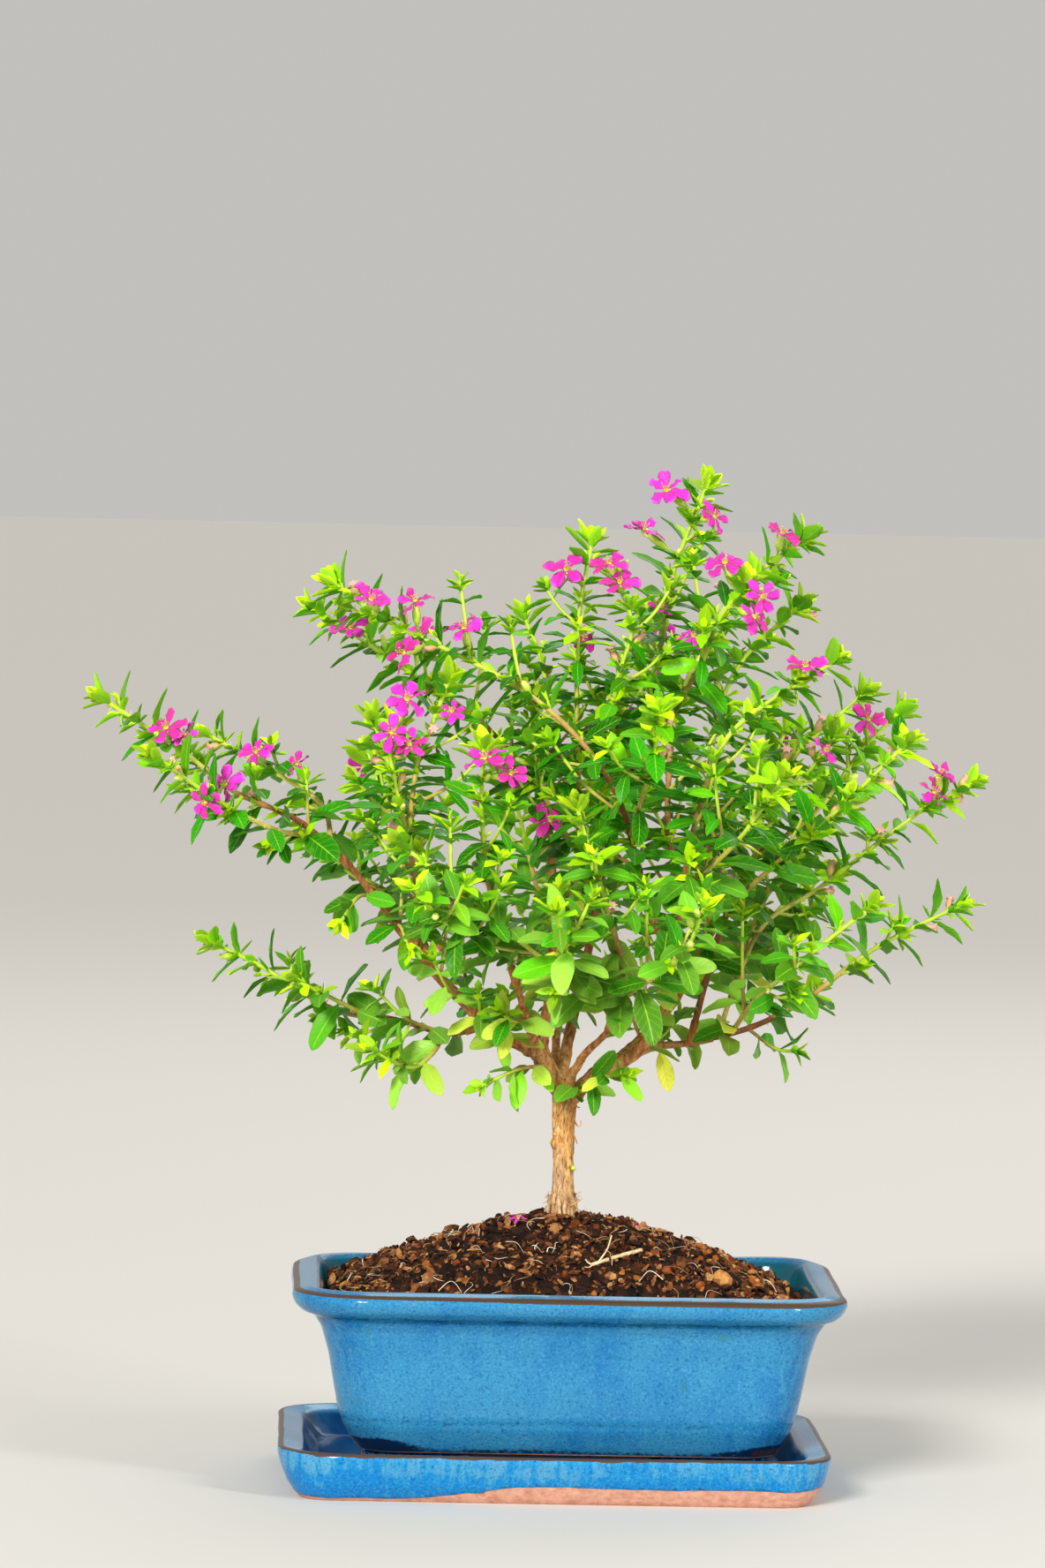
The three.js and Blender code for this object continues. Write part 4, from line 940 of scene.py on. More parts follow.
class BONSAI_OT_pot(bpy.types.Operator):
    """Glazed pot: flared walls, a rolled lip, four corner feet and two drain holes"""

    bl_idname = "bonsai.pot"
    bl_label = "Pot"

    def execute(self, context):
        start = [(54, 0.5, POT_UNDERSIDE), (36, 6, POT_UNDERSIDE), (22, 10, POT_UNDERSIDE)]
        end = [(24, 7, POT_FLOOR), (36, 4, POT_FLOOR), (54, 0.5, POT_FLOOR)]
        levels = np.vstack([start, profile([*POT_OUTSIDE, *POT_INSIDE], 0.6, 2), end])
        rings = tray(levels, POT_HALF, POT_SHIFT, TRAY_TURNS)
        outside = (np.arange(len(levels)) <= np.argmax(levels[:, 2]))[:, None]
        inset = levels[:, 0, None]
        x, y, z = rings[..., 0], rings[..., 1], rings[..., 2]
        around = rings * [1, 1, 0]
        wander = ripple(around, 30, 11)
        wall = outside & (inset < WIPED_INSET)
        # The middle of each corner's arc, where painted shade darkens the wall as it turns away
        corner = np.exp(-(((TRAY_TURNS * 4) % 1 / ARC - 0.5) / 0.3) ** 2) * wall * smooth(49, 46, z)
        rim = wall * smooth(54.3, 54.7, z + 0.2 * wander + 0.5 * smooth(-30, 20, x)) * smooth(55.6, 55.25, z)
        rim = np.maximum(rim, ~outside * 0.6 * np.exp(-((z - 55.6) / 0.45) ** 2))
        # The glaze ran together along the foot, most of all at its ends, where it also broke brown
        ends = smooth(36, 54, np.abs(x - 6))
        foot_line = smooth(13.5, 12.3, z - 2.2 * ends + 0.5 * wander)
        pool = wall * foot_line * mix(0.75, 1.3, ends)
        rim = np.maximum(rim, wall * 0.62 * smooth(38, 52, x - 6) * foot_line * smooth(15.5, 13, z))
        # Painted shade in the groove under the lip, broken into navy specks
        specks = np.clip(0.6 + 0.5 * ripple(around, 4, 14), 0, 1)
        pool = np.maximum(pool, wall * 0.8 * specks * np.exp(-((z - 48.7 + 0.2 * wander) / 0.7) ** 2))
        # Painted shadow: a dark line in the groove at the foot of the wall
        pool = np.maximum(pool, wall * 0.26 * np.exp(-((z - 20.3 + 0.3 * wander) / 0.8) ** 2))
        # Painted shade: a band under the lip and each corner's arc turn towards cobalt, and the rest of the
        # wall is a little paler
        under = np.exp(-((z - 47.8) / 1.6) ** 2)
        low = wall * (0.5 * under + 0.5 * corner - 0.25)
        streak = wall * (0.12 + 0.5 * under + 0.9 * corner)
        # The glaze was wiped off the underside, and does not reach the lower half of the inside
        bare = np.where(outside, inset >= WIPED_INSET, z < 30) * 1.0
        # Painted shade: the inside, from just below the rim down, is coloured dark teal
        deep = np.where(outside, 0.0, smooth(55.9, 54.2, z))
        groove = wall * 0.35 * np.exp(-((z - 20) / 1.1) ** 2)
        out = unit(around - [POT_SHIFT, 0, 0])
        rings = rings + out * (0.22 * ripple(rings, 55, 12) * wall - groove)[..., None]
        # The back right corner stands a little higher
        rings[..., 2] += 1.2 * smooth(20, 75, x) * smooth(0, 50, y) * smooth(45, 55, z)
        # A small bead of glaze under the lip
        bead = np.exp(-(dot(rings - BEAD, rings - BEAD)[..., 0]) / 0.5)
        rings = rings + out * (0.9 * bead)[..., None]
        shell = Skin()
        pool = np.maximum(pool, 0.5 * bead)
        shell.add(rings, bare=bare, rim=rim, pool=pool, low=low, deep=deep, streak=streak)
        look = settings("ceramics")
        # The last colour is the painted shade inside the pot
        material = glaze("Stoneware glaze, pot", look.glaze, look.cobalt, "#0f4a5a")
        body = shell.mesh("pot_shell", [material])
        drill = Skin()
        for side in (-1, 1):
            centre = POT_SHIFT + side * DRAIN_OFFSET
            line = np.array([[(centre, 0, POT_UNDERSIDE - 2.0), (centre, 0, POT_FLOOR + 2.0)]])
            drill.add(pipes(line, [DRAIN_RADIUS, DRAIN_RADIUS], 40))
        body = carve(body, drill.mesh("drains", []))
        place("pot_glazed", body, "glaze", "pot")
        feet = Skin()
        for sign_x in (-1, 1):
            for sign_y in (-1, 1):
                foot = corner_foot(sign_x, sign_y)
                height = foot[..., 2]
                feet.add(foot, bare=smooth(7.6, 7.0, height), pool=0.7 * smooth(7.5, 8.2, height),
                         rim=0, low=0, deep=0, streak=0)
        made = feet.place("pot_feet", [material], "glaze", crease=40)
        round_off = made.modifiers.new("Rounded", "BEVEL")
        round_off.width = 0.0006
        round_off.segments = 2
        round_off.limit_method = "ANGLE"
        round_off.angle_limit = math.radians(50)
        return {"FINISHED"}


class BONSAI_OT_screens(bpy.types.Operator):
    """Plastic mesh over each drain hole"""

    bl_idname = "bonsai.screens"
    bl_label = "Drain screens"

    def execute(self, context):
        material = moulded_mesh()
        for name in ("drain_screen_left", "drain_screen_right"):
            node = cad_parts[name]
            for slot in node.material_slots:
                slot.link = "OBJECT"
                slot.material = material
        return {"FINISHED"}


# From the wall in to the trunk: share of the way out, and height
MOUND = np.array([
    (0.12, 72.6), (0.24, 70.9), (0.4, 67.6), (0.58, 63.8), (0.76, 59.3), (0.9, 54.4), (1, 50.6),
])


def mound(share, turn):
    """A point on the soil's surface: the wall's rounded rectangle shrunk towards the trunk, and lifted.
    The right end lies lower."""
    half_x, half_y = (half - SOIL_INSET for half in POT_HALF)
    radius = half_y * share * mix(0.98, 0.24, share * share)
    x, y = rounded(half_x * share, half_y * share, radius, turn)
    x = x + mix(TRUNK_X, POT_SHIFT, share)
    height = np.interp(share, MOUND[:, 0], MOUND[:, 1]) - 1.6 * smooth(30, 62, x)
    point = np.stack([x, y, height], -1)
    lump = 0.5 * ripple(point * [1, 1, 0], 14, 21) + 0.3 * ripple(point * [1, 1, 0], 4, 22)
    return point + UP * (lump * smooth(1.0, 0.85, share) * smooth(0.1, 0.2, share))[..., None]


def scatter(rng, count, low, high):
    """Places on the mound, evenly over its area: the point, and the surface's own directions there."""
    share = np.sqrt(rng.uniform(low ** 2, high ** 2, count))
    turn = rng.random(count) * 0.999
    point = mound(share, turn)
    out = mound(np.minimum(share + 0.02, 1), turn) - mound(share - 0.02, turn)
    round_about = mound(share, (turn + 0.004) % 0.9999) - point
    normal = unit(np.cross(unit(out), unit(round_about)))
    return point, normal * np.sign(normal[:, 2:])


def tumbled(rng, point, normal, length, girth, flat, rings, sides, lie):
    """Crumbs as closed solids: rings along a random direction that lies mostly in the surface, their
    radii drawn at random so that no two crumbs match."""
    count = len(point)
    any_way = rng.normal(size=(count, 3))
    along = unit(any_way - normal * dot(any_way, normal) * lie)
    thin = unit(normal - along * dot(normal, along) + 0.25 * rng.normal(size=(count, 3)))
    thin = unit(thin - along * dot(thin, along))
    across = np.cross(thin, along)
    shares = np.array([share for share, _ in rings])
    radii = np.array([radius for _, radius in rings])
    jitter = rng.uniform(0.65, 1.3, (count, len(rings), sides))
    angle = spokes(sides)
    reach = (girth[:, None] * radii)[..., None] * jitter
    x = (reach * np.cos(angle))[..., None]
    y = (reach * np.sin(angle) * flat[:, None, None])[..., None]
    spine = point[:, None] + along[:, None] * (length[:, None] * shares)[..., None]
    return spine[:, :, None] + across[:, None, None] * x + thin[:, None, None] * y


CHIP_RINGS = [(-0.5, 0.5), (0.05, 1.0), (0.5, 0.45)]
GRANULE_RINGS = [(-0.5, 0.4), (-0.2, 0.95), (0.2, 1.0), (0.5, 0.42)]


class BONSAI_OT_soil(bpy.types.Operator):
    """Potting mix: the mound, its crumbs and granules, fine roots, a forked twig and fallen blooms"""

    bl_idname = "bonsai.soil"
    bl_label = "Soil"

    def execute(self, context):
        self.mound_piece()
        self.crumbs()
        self.fibres()
        self.fallen()
        return {"FINISHED"}

    def mound_piece(self):
        turns = np.arange(220) / 220
        walls = [
            (inset + 0.4, radius, max(height, POT_FLOOR + GAP)) for inset, radius, height in POT_INSIDE[:1:-1]
        ]
        wall_rings = tray(profile(walls, 2.0, 1), POT_HALF, POT_SHIFT, turns)
        shares = np.concatenate([np.linspace(1, 0.86, 12), np.linspace(0.85, 0.12, 70)])
        top = mound(shares[:, None], turns[None])
        around = turns * 2 * math.pi
        hole = [
            np.stack([TRUNK_X + TRUNK_HOLE_RADIUS * share * np.cos(around),
                      TRUNK_HOLE_RADIUS * share * np.sin(around), np.full(len(turns), height)], -1)
            for share, height in ((0.98, 71), (0.98, 62), (0.98, TRUNK_FOOT - GAP))
        ]
        rings = np.concatenate([wall_rings, top, np.stack(hole)])
        crumbled = 0.4 * ripple(rings, 3.4, 23) + 0.3 * ripple(rings, 1.7, 26)
        rings = rings + (crumbled * smooth(49.5, 52, rings[..., 2]))[..., None] * UP
        # The mound is kept near black: damp peat's own dark colour, and painted shade in the gaps between the
        # crumbs
        tone = 0.08 + 0.12 * ripple(rings, 5, 24)
        skin = Skin()
        skin.add(rings, tone=tone)
        recess = Skin()
        roof = POT_FLOOR + 2 * GAP + SCREEN_THICKNESS
        half = SCREEN_SIZE / 2 + GAP
        for side in (-1, 1):
            corners = np.array([(half, half), (-half, half), (-half, -half), (half, -half)])
            corners = corners + [POT_SHIFT + side * DRAIN_OFFSET, 0]
            block = [np.column_stack([corners, np.full(4, z)]) for z in (POT_FLOOR - 1, roof)]
            recess.add(np.stack(block))
        mesh = skin.mesh("soil_mound", [earth("Damp peat with painted shade", DARK_MIX, 1.2)])
        place("soil_mound", carve(mesh, recess.mesh("recesses", [])), "soil", "soil")

    def crumbs(self):
        look = settings("soil")
        rng = np.random.default_rng(31)
        skin = Skin()
        point, normal = scatter(rng, look.crumbs, 0.075, 0.985)
        length = np.clip(rng.lognormal(0.42, 0.46, look.crumbs), 0.6, 4.6)
        girth = length * rng.uniform(0.18, 0.44, look.crumbs)
        flat = rng.uniform(0.35, 0.9, look.crumbs)
        tone = np.clip(rng.beta(1.5, 2.5, look.crumbs), 0, 1)
        sunk = point + normal * (rng.uniform(-0.1, 0.9, look.crumbs) * girth)[:, None]
        chips = tumbled(rng, sunk, normal, length, girth, flat, CHIP_RINGS, 4, 0.4)
        skin.add(chips, 0, tone=tone[:, None, None])
        point, normal = scatter(rng, look.granules, 0.16, 0.985)
        # Clay granules gather on the right
        away = smooth(8, 34, np.abs(point[:, 0] - TRUNK_X))
        kept = rng.random(len(point)) < mix(0.25, 1.0, smooth(-40, 45, point[:, 0])) * mix(0.4, 1.0, away)
        point, normal, away = point[kept], normal[kept], away[kept]
        count = len(point)
        length = np.clip(rng.lognormal(0.62, 0.34, count), 1.0, 3.4) * mix(0.75, 1.0, away)
        girth = length * rng.uniform(0.36, 0.5, count)
        tone = rng.uniform(0, 0.85, count)
        flat = rng.uniform(0.7, 1.0, count)
        sunk = point + normal * (girth * 0.35)[:, None]
        stones = tumbled(rng, sunk, normal, length, girth, flat, GRANULE_RINGS, 7, 0.5)
        skin.add(stones, 1, tone=tone[:, None, None])
        pebble = tumbled(rng, np.array([PEBBLE]), UP[None], np.array([6.2]), np.array([2.7]), np.array([0.9]),
                         GRANULE_RINGS, 9, 1.0)
        skin.add(pebble, 1, tone=0.75)
        mixes = [earth("Bark and peat crumbs", DARK_MIX, 0.7), earth("Fired clay granules", CLAY_MIX, 0.9)]
        skin.place("soil_crumbs", mixes, "soil", crease=32)

    def fibres(self):
        look = settings("soil")
        rng = np.random.default_rng(37)
        count = look.fibres
        point, normal = scatter(rng, count, 0.1, 0.95)
        pale = rng.random(count) < mix(0.75, 0.2, smooth(-4, 16, np.abs(point[:, 0] + 10) - 12))
        any_way = rng.normal(size=(count, 3))
        along = unit(any_way - normal * dot(any_way, normal) * 0.9)
        across = np.cross(normal, along)
        t = np.linspace(0, 1, 12)
        length = rng.uniform(2.4, 7.5, count)[:, None]
        bend = rng.uniform(-0.4, 0.4, count)[:, None]
        rise = rng.uniform(0.1, 0.3, count)[:, None] * np.sin(math.pi * t) * length + 0.35
        curl = 0.045 * np.sin(2 * math.pi * (t * 1.3 + rng.random(count)[:, None]))
        line = point[:, None] + along[:, None] * (length * (t - 0.5))[..., None]
        line = line + across[:, None] * (length * (bend * np.sin(math.pi * t) + curl))[..., None]
        line = line + normal[:, None] * rise[..., None]
        stout = 1 + 0.7 * (pale & (rng.random(count) < 0.2))
        radius = (rng.uniform(0.06, 0.12, count) * stout)[:, None] * mix(1.0, 0.4, t)
        skin = Skin()
        skin.add(pipes(line, radius, 4), tone=np.where(pale, 0.95, 0.45)[:, None, None])
        for points, radii in TWIG:
            path = Path(points)
            steps = np.linspace(0, path.length, 22)
            bark = np.interp(steps, (0, path.length), radii) * (1 + 0.14 * ripple(path.at(steps)[0], 1.4, 38))
            skin.add(path.tube(steps, bark, 10), tone=0.72)
        skin.place("soil_roots", [earth("Dry roots and twig", PALE_MIX, 0.9)], "soil")

    def fallen(self):
        skin = Skin()
        for order, (spot, axis, radius, petals) in enumerate(FALLEN):
            flower(skin, np.array(spot, float), unit(np.array(axis, float)), radius, 900 + order, petals)
        skin.place("fallen_blooms", [petal_silk(), stamen_skin()], "petal")


# The darkest stops colour the mound, where they are painted shade between the crumbs as well as damp peat
DARK_MIX = [(0.0, "#080402"), (0.22, "#21110a"), (0.48, "#522c17"), (0.74, "#86522c"), (1.0, "#c0905c")]
CLAY_MIX = [(0.0, "#44200f"), (0.35, "#7c3c18"), (0.7, "#a5642a"), (1.0, "#c89456")]
PALE_MIX = [(0.0, "#3a2414"), (0.4, "#8a6238"), (0.7, "#d3ad72"), (1.0, "#f2e8cf")]
PEBBLE = np.array([44.2, -32.0, 59.1])
TWIG = [
    ([(9.2, -30, 62.4), (15.5, -27, 64.2), (22.8, -23.5, 65.9)], (0.5, 0.6)),
    ([(10.8, -29.2, 62.9), (13.2, -28.8, 66.4), (14.4, -28, 70.2)], (0.26, 0.18)),
    ([(9.4, -30, 62.4), (8.2, -30.6, 62.9), (7.4, -31, 63.8)], (0.3, 0.12)),
    ([(9.3, -30, 62.3), (8.4, -31, 61.8), (7.2, -31.6, 61.9)], (0.22, 0.12)),
]
FALLEN = [((-10.2, -8, 72.4), (0.15, -0.15, 1), 2.8, 5), ((22.0, -8, 70.6), (0.5, -0.5, 0.7), 1.2, 3)]


def furrows(distance, radius, sides, pitch, seed):
    """How deep in a bark furrow each point is, 0 to 1: noise round the stem, stretched along it, sharpest
    where it crosses zero."""
    angle = spokes(sides)
    reach = np.broadcast_to(radius[:, None], (len(distance), sides))
    along = np.broadcast_to(distance[:, None] / 5, reach.shape)
    noise = ripple(np.stack([reach * np.cos(angle), reach * np.sin(angle), along], -1), pitch, seed)
    return np.clip(1 - 2.6 * np.abs(noise), 0, 1)


ROOT_ANGLES = (12, 48, 84, 128, 166, 203, 228, 254, 281, 312, 338)
FLAKES = [
    [(5.0, -1, 103.0), (5.8, -1.2, 102.2), (6.3, -1.3, 102.4)],
    [(4.8, -1.2, 98.8), (5.5, -1.5, 97.4), (6.3, -1.6, 97.2), (6.6, -1.6, 98.0), (6.4, -1.6, 98.7)],
    [(4.8, -1.4, 94.6), (5.3, -1.8, 93.4), (5.6, -2.2, 92.4)],
    [(4.0, -3.4, 75.4), (5.6, -4.4, 76.5), (7.3, -4.8, 77.7)],
    [(4.4, -3.4, 78.2), (5.4, -4.4, 76.0), (6.4, -5.0, 73.8)],
]
KNOBS = [((0.4, -1.4, 94.4), (-1.2, -1.9, 95.1), 0.6), ((0.2, -1.2, 92.4), (-1.7, -1.8, 93.0), 0.5)]
BUDS = [((4.7, -2.8, 85.8), 0.75), ((-1.8, -2.0, 92.8), 0.36)]


class BONSAI_OT_trunk(bpy.types.Operator):
    """Trunk and woody branches: a fluted, furrowed foot, a waist and a swollen fork"""

    bl_idname = "bonsai.trunk"
    bl_label = "Trunk"

    def execute(self, context):
        skin = Skin()
        self.post(skin)
        for order, (points, radii) in enumerate(BRANCHES.values()):
            self.branch(skin, points, radii, 50 + order)
        for routes in SPRAYS.values():
            stub = Path(routes[0])
            steps = np.linspace(0, STUB + 1.5, 5)
            skin.add(stub.tube(steps, np.full(5, 1.06 * MAIN_STEM_RADIUS), 10), furrow=0, wood=0.75)
        self.roots(skin)
        self.straw(skin)
        self.scars(skin)
        skin.place("trunk_and_branches", [bark_cork()], "bark", "trunk")
        self.buds()
        return {"FINISHED"}

    def roots(self, skin):
        """Root flare: tapering ridges that run down round the trunk's foot into the soil."""
        for order, degrees in enumerate(ROOT_ANGLES):
            out = np.array([math.cos(math.radians(degrees)), math.sin(math.radians(degrees)), 0.0])
            top = 79.8 - 0.9 * (order % 3)
            reaches = ((2.5, top), (3.5, top - 2), (3.9, 74.6), (4.6, 71.2))
            root = Path([out * reach + [TRUNK_X, 0, z] for reach, z in reaches])
            steps = np.linspace(0, root.length, 24)
            line = root.at(steps)[0] + 0.4 * ripple(root.at(steps)[0], 3, 62)[:, None] * np.cross(out, UP)
            radius = np.interp(steps / root.length, (0, 0.25, 1), (0.2, 0.52 + 0.1 * (order % 3), 0.4))
            radius = radius * (1 + 0.3 * ripple(line, 1.3, 61))
            skin.add(pipes(line[None], radius[None], 8), furrow=0, wood=-0.5)

    def scars(self, skin):
        """Cut knobs, and flakes of bark that curl away."""
        for start, end, size in KNOBS:
            line = np.linspace(start, end, 6)
            radius = size * np.array([1.2, 1.0, 0.95, 1.1, 0.9, 0.3])
            skin.add(pipes(line[None], radius, 10), furrow=0, wood=-0.2)
        for points in FLAKES:
            flake = Path(points)
            steps = np.linspace(0, flake.length, 10)
            low = points[0][2] < 80
            radius = mix(0.3 if low else 0.26, 0.12, steps / flake.length)
            skin.add(flake.tube(steps, radius, 5), furrow=0, wood=-0.4 if low else 0.6)

    def buds(self):
        skin = Skin()
        for centre, size in BUDS:
            line = np.array(centre) + size * np.array([-1, -0.5, 0, 0.6, 1])[:, None] * UP
            bulge = np.array([0.35, 0.85, 1, 0.7, 0.15]) * size
            skin.add(pipes(line[None], bulge, 8), along=0.4, blush=0.25)
        skin.place("bark_buds", [calyx_skin()], "foliage")

    def straw(self, skin):
        """Short dry rootlets that stand out round the trunk's foot: a level way out, tilted up or down."""
        rng = np.random.default_rng(63)
        count = 70
        angle = rng.uniform(0, 2 * math.pi, count)
        out = np.stack([np.cos(angle), np.sin(angle), np.zeros(count)], -1)
        foot = out * rng.uniform(3.0, 4.0, count)[:, None] + [TRUNK_X, 0, 0]
        foot[:, 2] = rng.uniform(72.6, 79.2, count)
        way = unit(out + rng.normal(size=(count, 3)) * [0.6, 0.6, 0.8])
        length = rng.uniform(0.8, 2.2, count)[:, None, None]
        t = np.linspace(0, 1, 5)[:, None]
        lines = foot[:, None] + way[:, None] * length * t - UP * 0.25 * length * t * t
        radius = rng.uniform(0.08, 0.16, count)[:, None] * mix(1.0, 0.4, t[:, 0])
        skin.add(pipes(lines, radius, 4), furrow=0, wood=-0.5)

    def post(self, skin):
        """The trunk below its fork. Each ring's radius is its level's times 1 + flute·cos(4·angle + z/9)."""
        heights, radii, flutes = np.array(TRUNK_LEVELS, float).T
        sides = 84
        z = np.linspace(TRUNK_FOOT, heights[-1], 190)
        radius = np.interp(z, heights, radii)
        radius = np.convolve(np.pad(radius, 6, mode="edge"), np.ones(13) / 13, "valid")
        flute = np.interp(z, heights, flutes)
        angle = spokes(sides)
        shape = radius[:, None] * (1 + flute[:, None] * np.cos(4 * angle + z[:, None] / 9))
        crack = furrows(z, radius, sides, 1.0, 41)
        points = np.stack([shape * np.cos(angle), shape * np.sin(angle), np.repeat(z[:, None], sides, 1)], -1)
        lumps = ripple(points, 5, 42)
        knob = 1.2 * np.exp(-(((angle - math.pi * 1.2) * 1.9) ** 2) - ((z[:, None] - 92.4) / 1.5) ** 2)
        shape = shape + 0.24 * lumps + knob - 0.2 * crack
        line = np.stack([np.full(len(z), TRUNK_X), np.zeros(len(z)), z], -1)
        # The bark is redder in strips on the right, and towards the fork
        strips = 0.5 * smooth(0.4, 0.95, np.cos(angle + 0.5))
        strips = strips * (0.5 + 0.5 * ripple(points * [1, 1, 0.15], 2, 43))
        wood = mix(-0.5, 0.25, smooth(82, 106, z))[:, None] + strips
        skin.add(pipes(line[None], shape[None], sides), furrow=crack, wood=wood)

    def branch(self, skin, points, radii, seed):
        """A branch that swells where it leaves its parent and carries finer furrows than the trunk."""
        path = Path(points)
        steps = np.linspace(0, path.length, int(path.length / 0.7))
        radius = mix(radii[0], radii[1], steps / path.length) + 0.8 * radii[0] * np.exp(-steps / 2.5) * 0.35
        sides = 24
        crack = furrows(steps, radius, sides, 1.3, seed)
        nodes = 0.12 * np.clip(np.cos(steps * 2 * math.pi / 7.5 + seed), 0, 1) ** 6
        shape = (radius * (1 + nodes))[:, None] * (1 - 0.1 * crack)
        centre = path.at(steps)[0]
        sway = 0.3 * np.stack([ripple(centre, 9, seed + k) for k in range(3)], -1)
        sway = sway * np.minimum(1, steps / 8)[:, None]
        centre = centre + sway * np.minimum(1, (path.length - steps) / 8)[:, None]
        wood = (0.15 + 0.5 * smooth(0, 26, steps))[:, None]
        skin.add(pipes(centre[None], shape[None], sides), furrow=0.7 * crack, wood=wood)


def shoot_paths(name):
    """The paths of a spray's shoots. A side shoot starts at the nearest point on an earlier one's axis."""
    paths = []
    for order, route in enumerate(SPRAYS[name]):
        start, *rest = route
        if order:
            feet = [path.at(path.nearest(start))[0] for path in paths]
            gaps = [np.linalg.norm(foot - np.array(start)) for foot in feet]
            start = feet[int(np.argmin(gaps))]
        paths.append(Path([start, *rest]))
    return paths


def leaf_stand(path, start, seed):
    """Where a shoot's leaves stand: crossed pairs, closer and smaller towards the tip, and a tip pair."""
    look = settings("tree")
    draw = seeded(seed)
    rows = []

    def grow(distance, azimuth, share, shorten, upright):
        turn = azimuth + (next(draw) - 0.5) * 0.5
        spread = mix(1.3, 0.85, share) * upright + (next(draw) - 0.5) * 0.28
        length = mix(look.leaf_length, look.tip_leaf_length, share * share) / MM
        length = length * (0.85 + 0.3 * next(draw)) * shorten
        droop = (0.12 + 0.24 * next(draw)) * (1 - 0.6 * share)
        rows.append((distance, turn, spread, length, droop, share))

    distance = start + 5
    pair = 0
    while distance < path.length - 3:
        share = distance / path.length
        for side in (0, 1):
            grow(distance, (pair / 2 + side) * math.pi, share, 1, 1)
        distance += mix(look.spacing, look.tip_spacing, share) / MM
        pair += 1
    for side in (0, 1):
        grow(path.length - 1 - side, side * math.pi, 1, 0.85, 0.65)
    return np.array(rows)


def turned(tangent, side, other, azimuth, spread, sag=0.0):
    """A leaf's own directions: along leans out of the stem by spread and then sags, the more the steeper
    it rises, and face looks up from it."""
    azimuth, spread = azimuth[:, None], spread[:, None]
    radial = side * np.cos(azimuth) + other * np.sin(azimuth)
    along = tangent * np.cos(spread) + radial * np.sin(spread)
    weight = np.reshape(sag, (-1, 1)) * (0.2 + 0.6 * np.maximum(0, along[:, 2:]))
    along = unit(along - UP * weight)
    face = tangent * np.sin(spread) - radial * np.cos(spread) + UP * 0.9
    return along, unit(face - along * dot(face, along))


def grown_leaves(skin, path, rows, seed):
    """Adds the leaves of the rows, folded at the midrib: blunt and broad low on the shoot, and narrow and
    arched near its tip."""
    rng = np.random.default_rng(seed)
    distance, azimuth, spread, length, droop, share = rows.T
    point, tangent, side, other = path.at(distance)
    along, face = turned(tangent, side, other, azimuth, spread, 1 - share ** 2)
    face = unit(face + 0.35 * np.cross(along, face) * rng.normal(size=(len(rows), 1)))
    # The low leaves are blunt for most of the shoot
    high = smooth(130, 190, point[:, 2])
    blunt = share < mix(0.85, 0.45, high)
    aspect = settings("tree").leaf_aspect * mix(1.2, 1.02, share) * mix(1.12, 1.0, high)
    aspect = aspect * rng.uniform(0.85, 1.12, len(rows))
    droop = droop + 0.14 * smooth(0.2, 0.7, share) * (share < 1)
    age = np.clip(1.15 - 0.75 * share ** 3 + 0.2 * rng.normal(size=len(rows)), 0, 1)
    age = np.where(share >= 1, 0.05, age)
    inner = mix(0.25, 1.0, smooth(80, 30, np.abs(point[:, 0] - TRUNK_X)))
    fade = 0.85 * inner * smooth(190, 125, point[:, 2]) * rng.random(len(rows)) ** 0.7
    fade = np.where(rng.random(len(rows)) < 0.02 * (share < 0.5), 1.0, fade)
    shade = rng.random(len(rows))
    for chosen, cut in ((blunt, BLUNT_LEAF), (~blunt, LEAF)):
        if chosen.any():
            stand = {
                "foot": point[chosen], "along": along[chosen], "face": face[chosen], "length": length[chosen],
                "half": (length * aspect / 2)[chosen], "droop": droop[chosen],
            }
            points, values = blades(stand, cut, 0.4, fold=0.22, wave=0.14, seed=seed)
            values.update(age=age[chosen, None, None], shade=shade[chosen, None, None],
                          fade=fade[chosen, None, None])
            skin.add(points, 1, **values)


def tufts(skin, point, direction, longest, rng, pairs, cut):
    """Adds young leafy shoots: a thin stalk and crossed pairs of leaves, cupped round its tip."""
    count = len(point)
    level = unit(np.cross(direction, UP + 0.01 * rng.normal(size=(count, 3))))
    other = np.cross(direction, level)
    turn = rng.uniform(0, math.pi, count)
    for order in range(2 * pairs):
        share = (order // 2) / (pairs - 1)
        height = point + direction * (longest * mix(0.12, 0.5, share))[:, None]
        spread = mix(1.05, 0.34, share) + 0.2 * rng.normal(size=count)
        azimuth = turn + (order // 2 / 2 + order % 2) * math.pi
        along, face = turned(direction, level, other, azimuth, spread, 0.3)
        length = longest * mix(1, 0.5, share) * rng.uniform(0.8, 1.15, count)
        stand = {
            "foot": height, "along": along, "face": face, "length": length,
            "half": length * rng.uniform(0.22, 0.3, count), "droop": rng.uniform(-0.1, 0.2, count),
        }
        points, values = blades(stand, cut, 0.3, fold=0.35, wave=0.1, seed=order)
        age = np.clip(mix(0.4, 0.08, share) + 0.14 * rng.normal(size=count), 0, 0.6)
        values.update(age=age[:, None, None], shade=rng.random(count)[:, None, None])
        skin.add(points, 1, **values)
    tops = point + direction * (0.55 * longest)[:, None]
    skin.add(pipes(np.stack([point, tops], 1), [0.45, 0.3], 5), 0, wood=-0.2, hair=0)


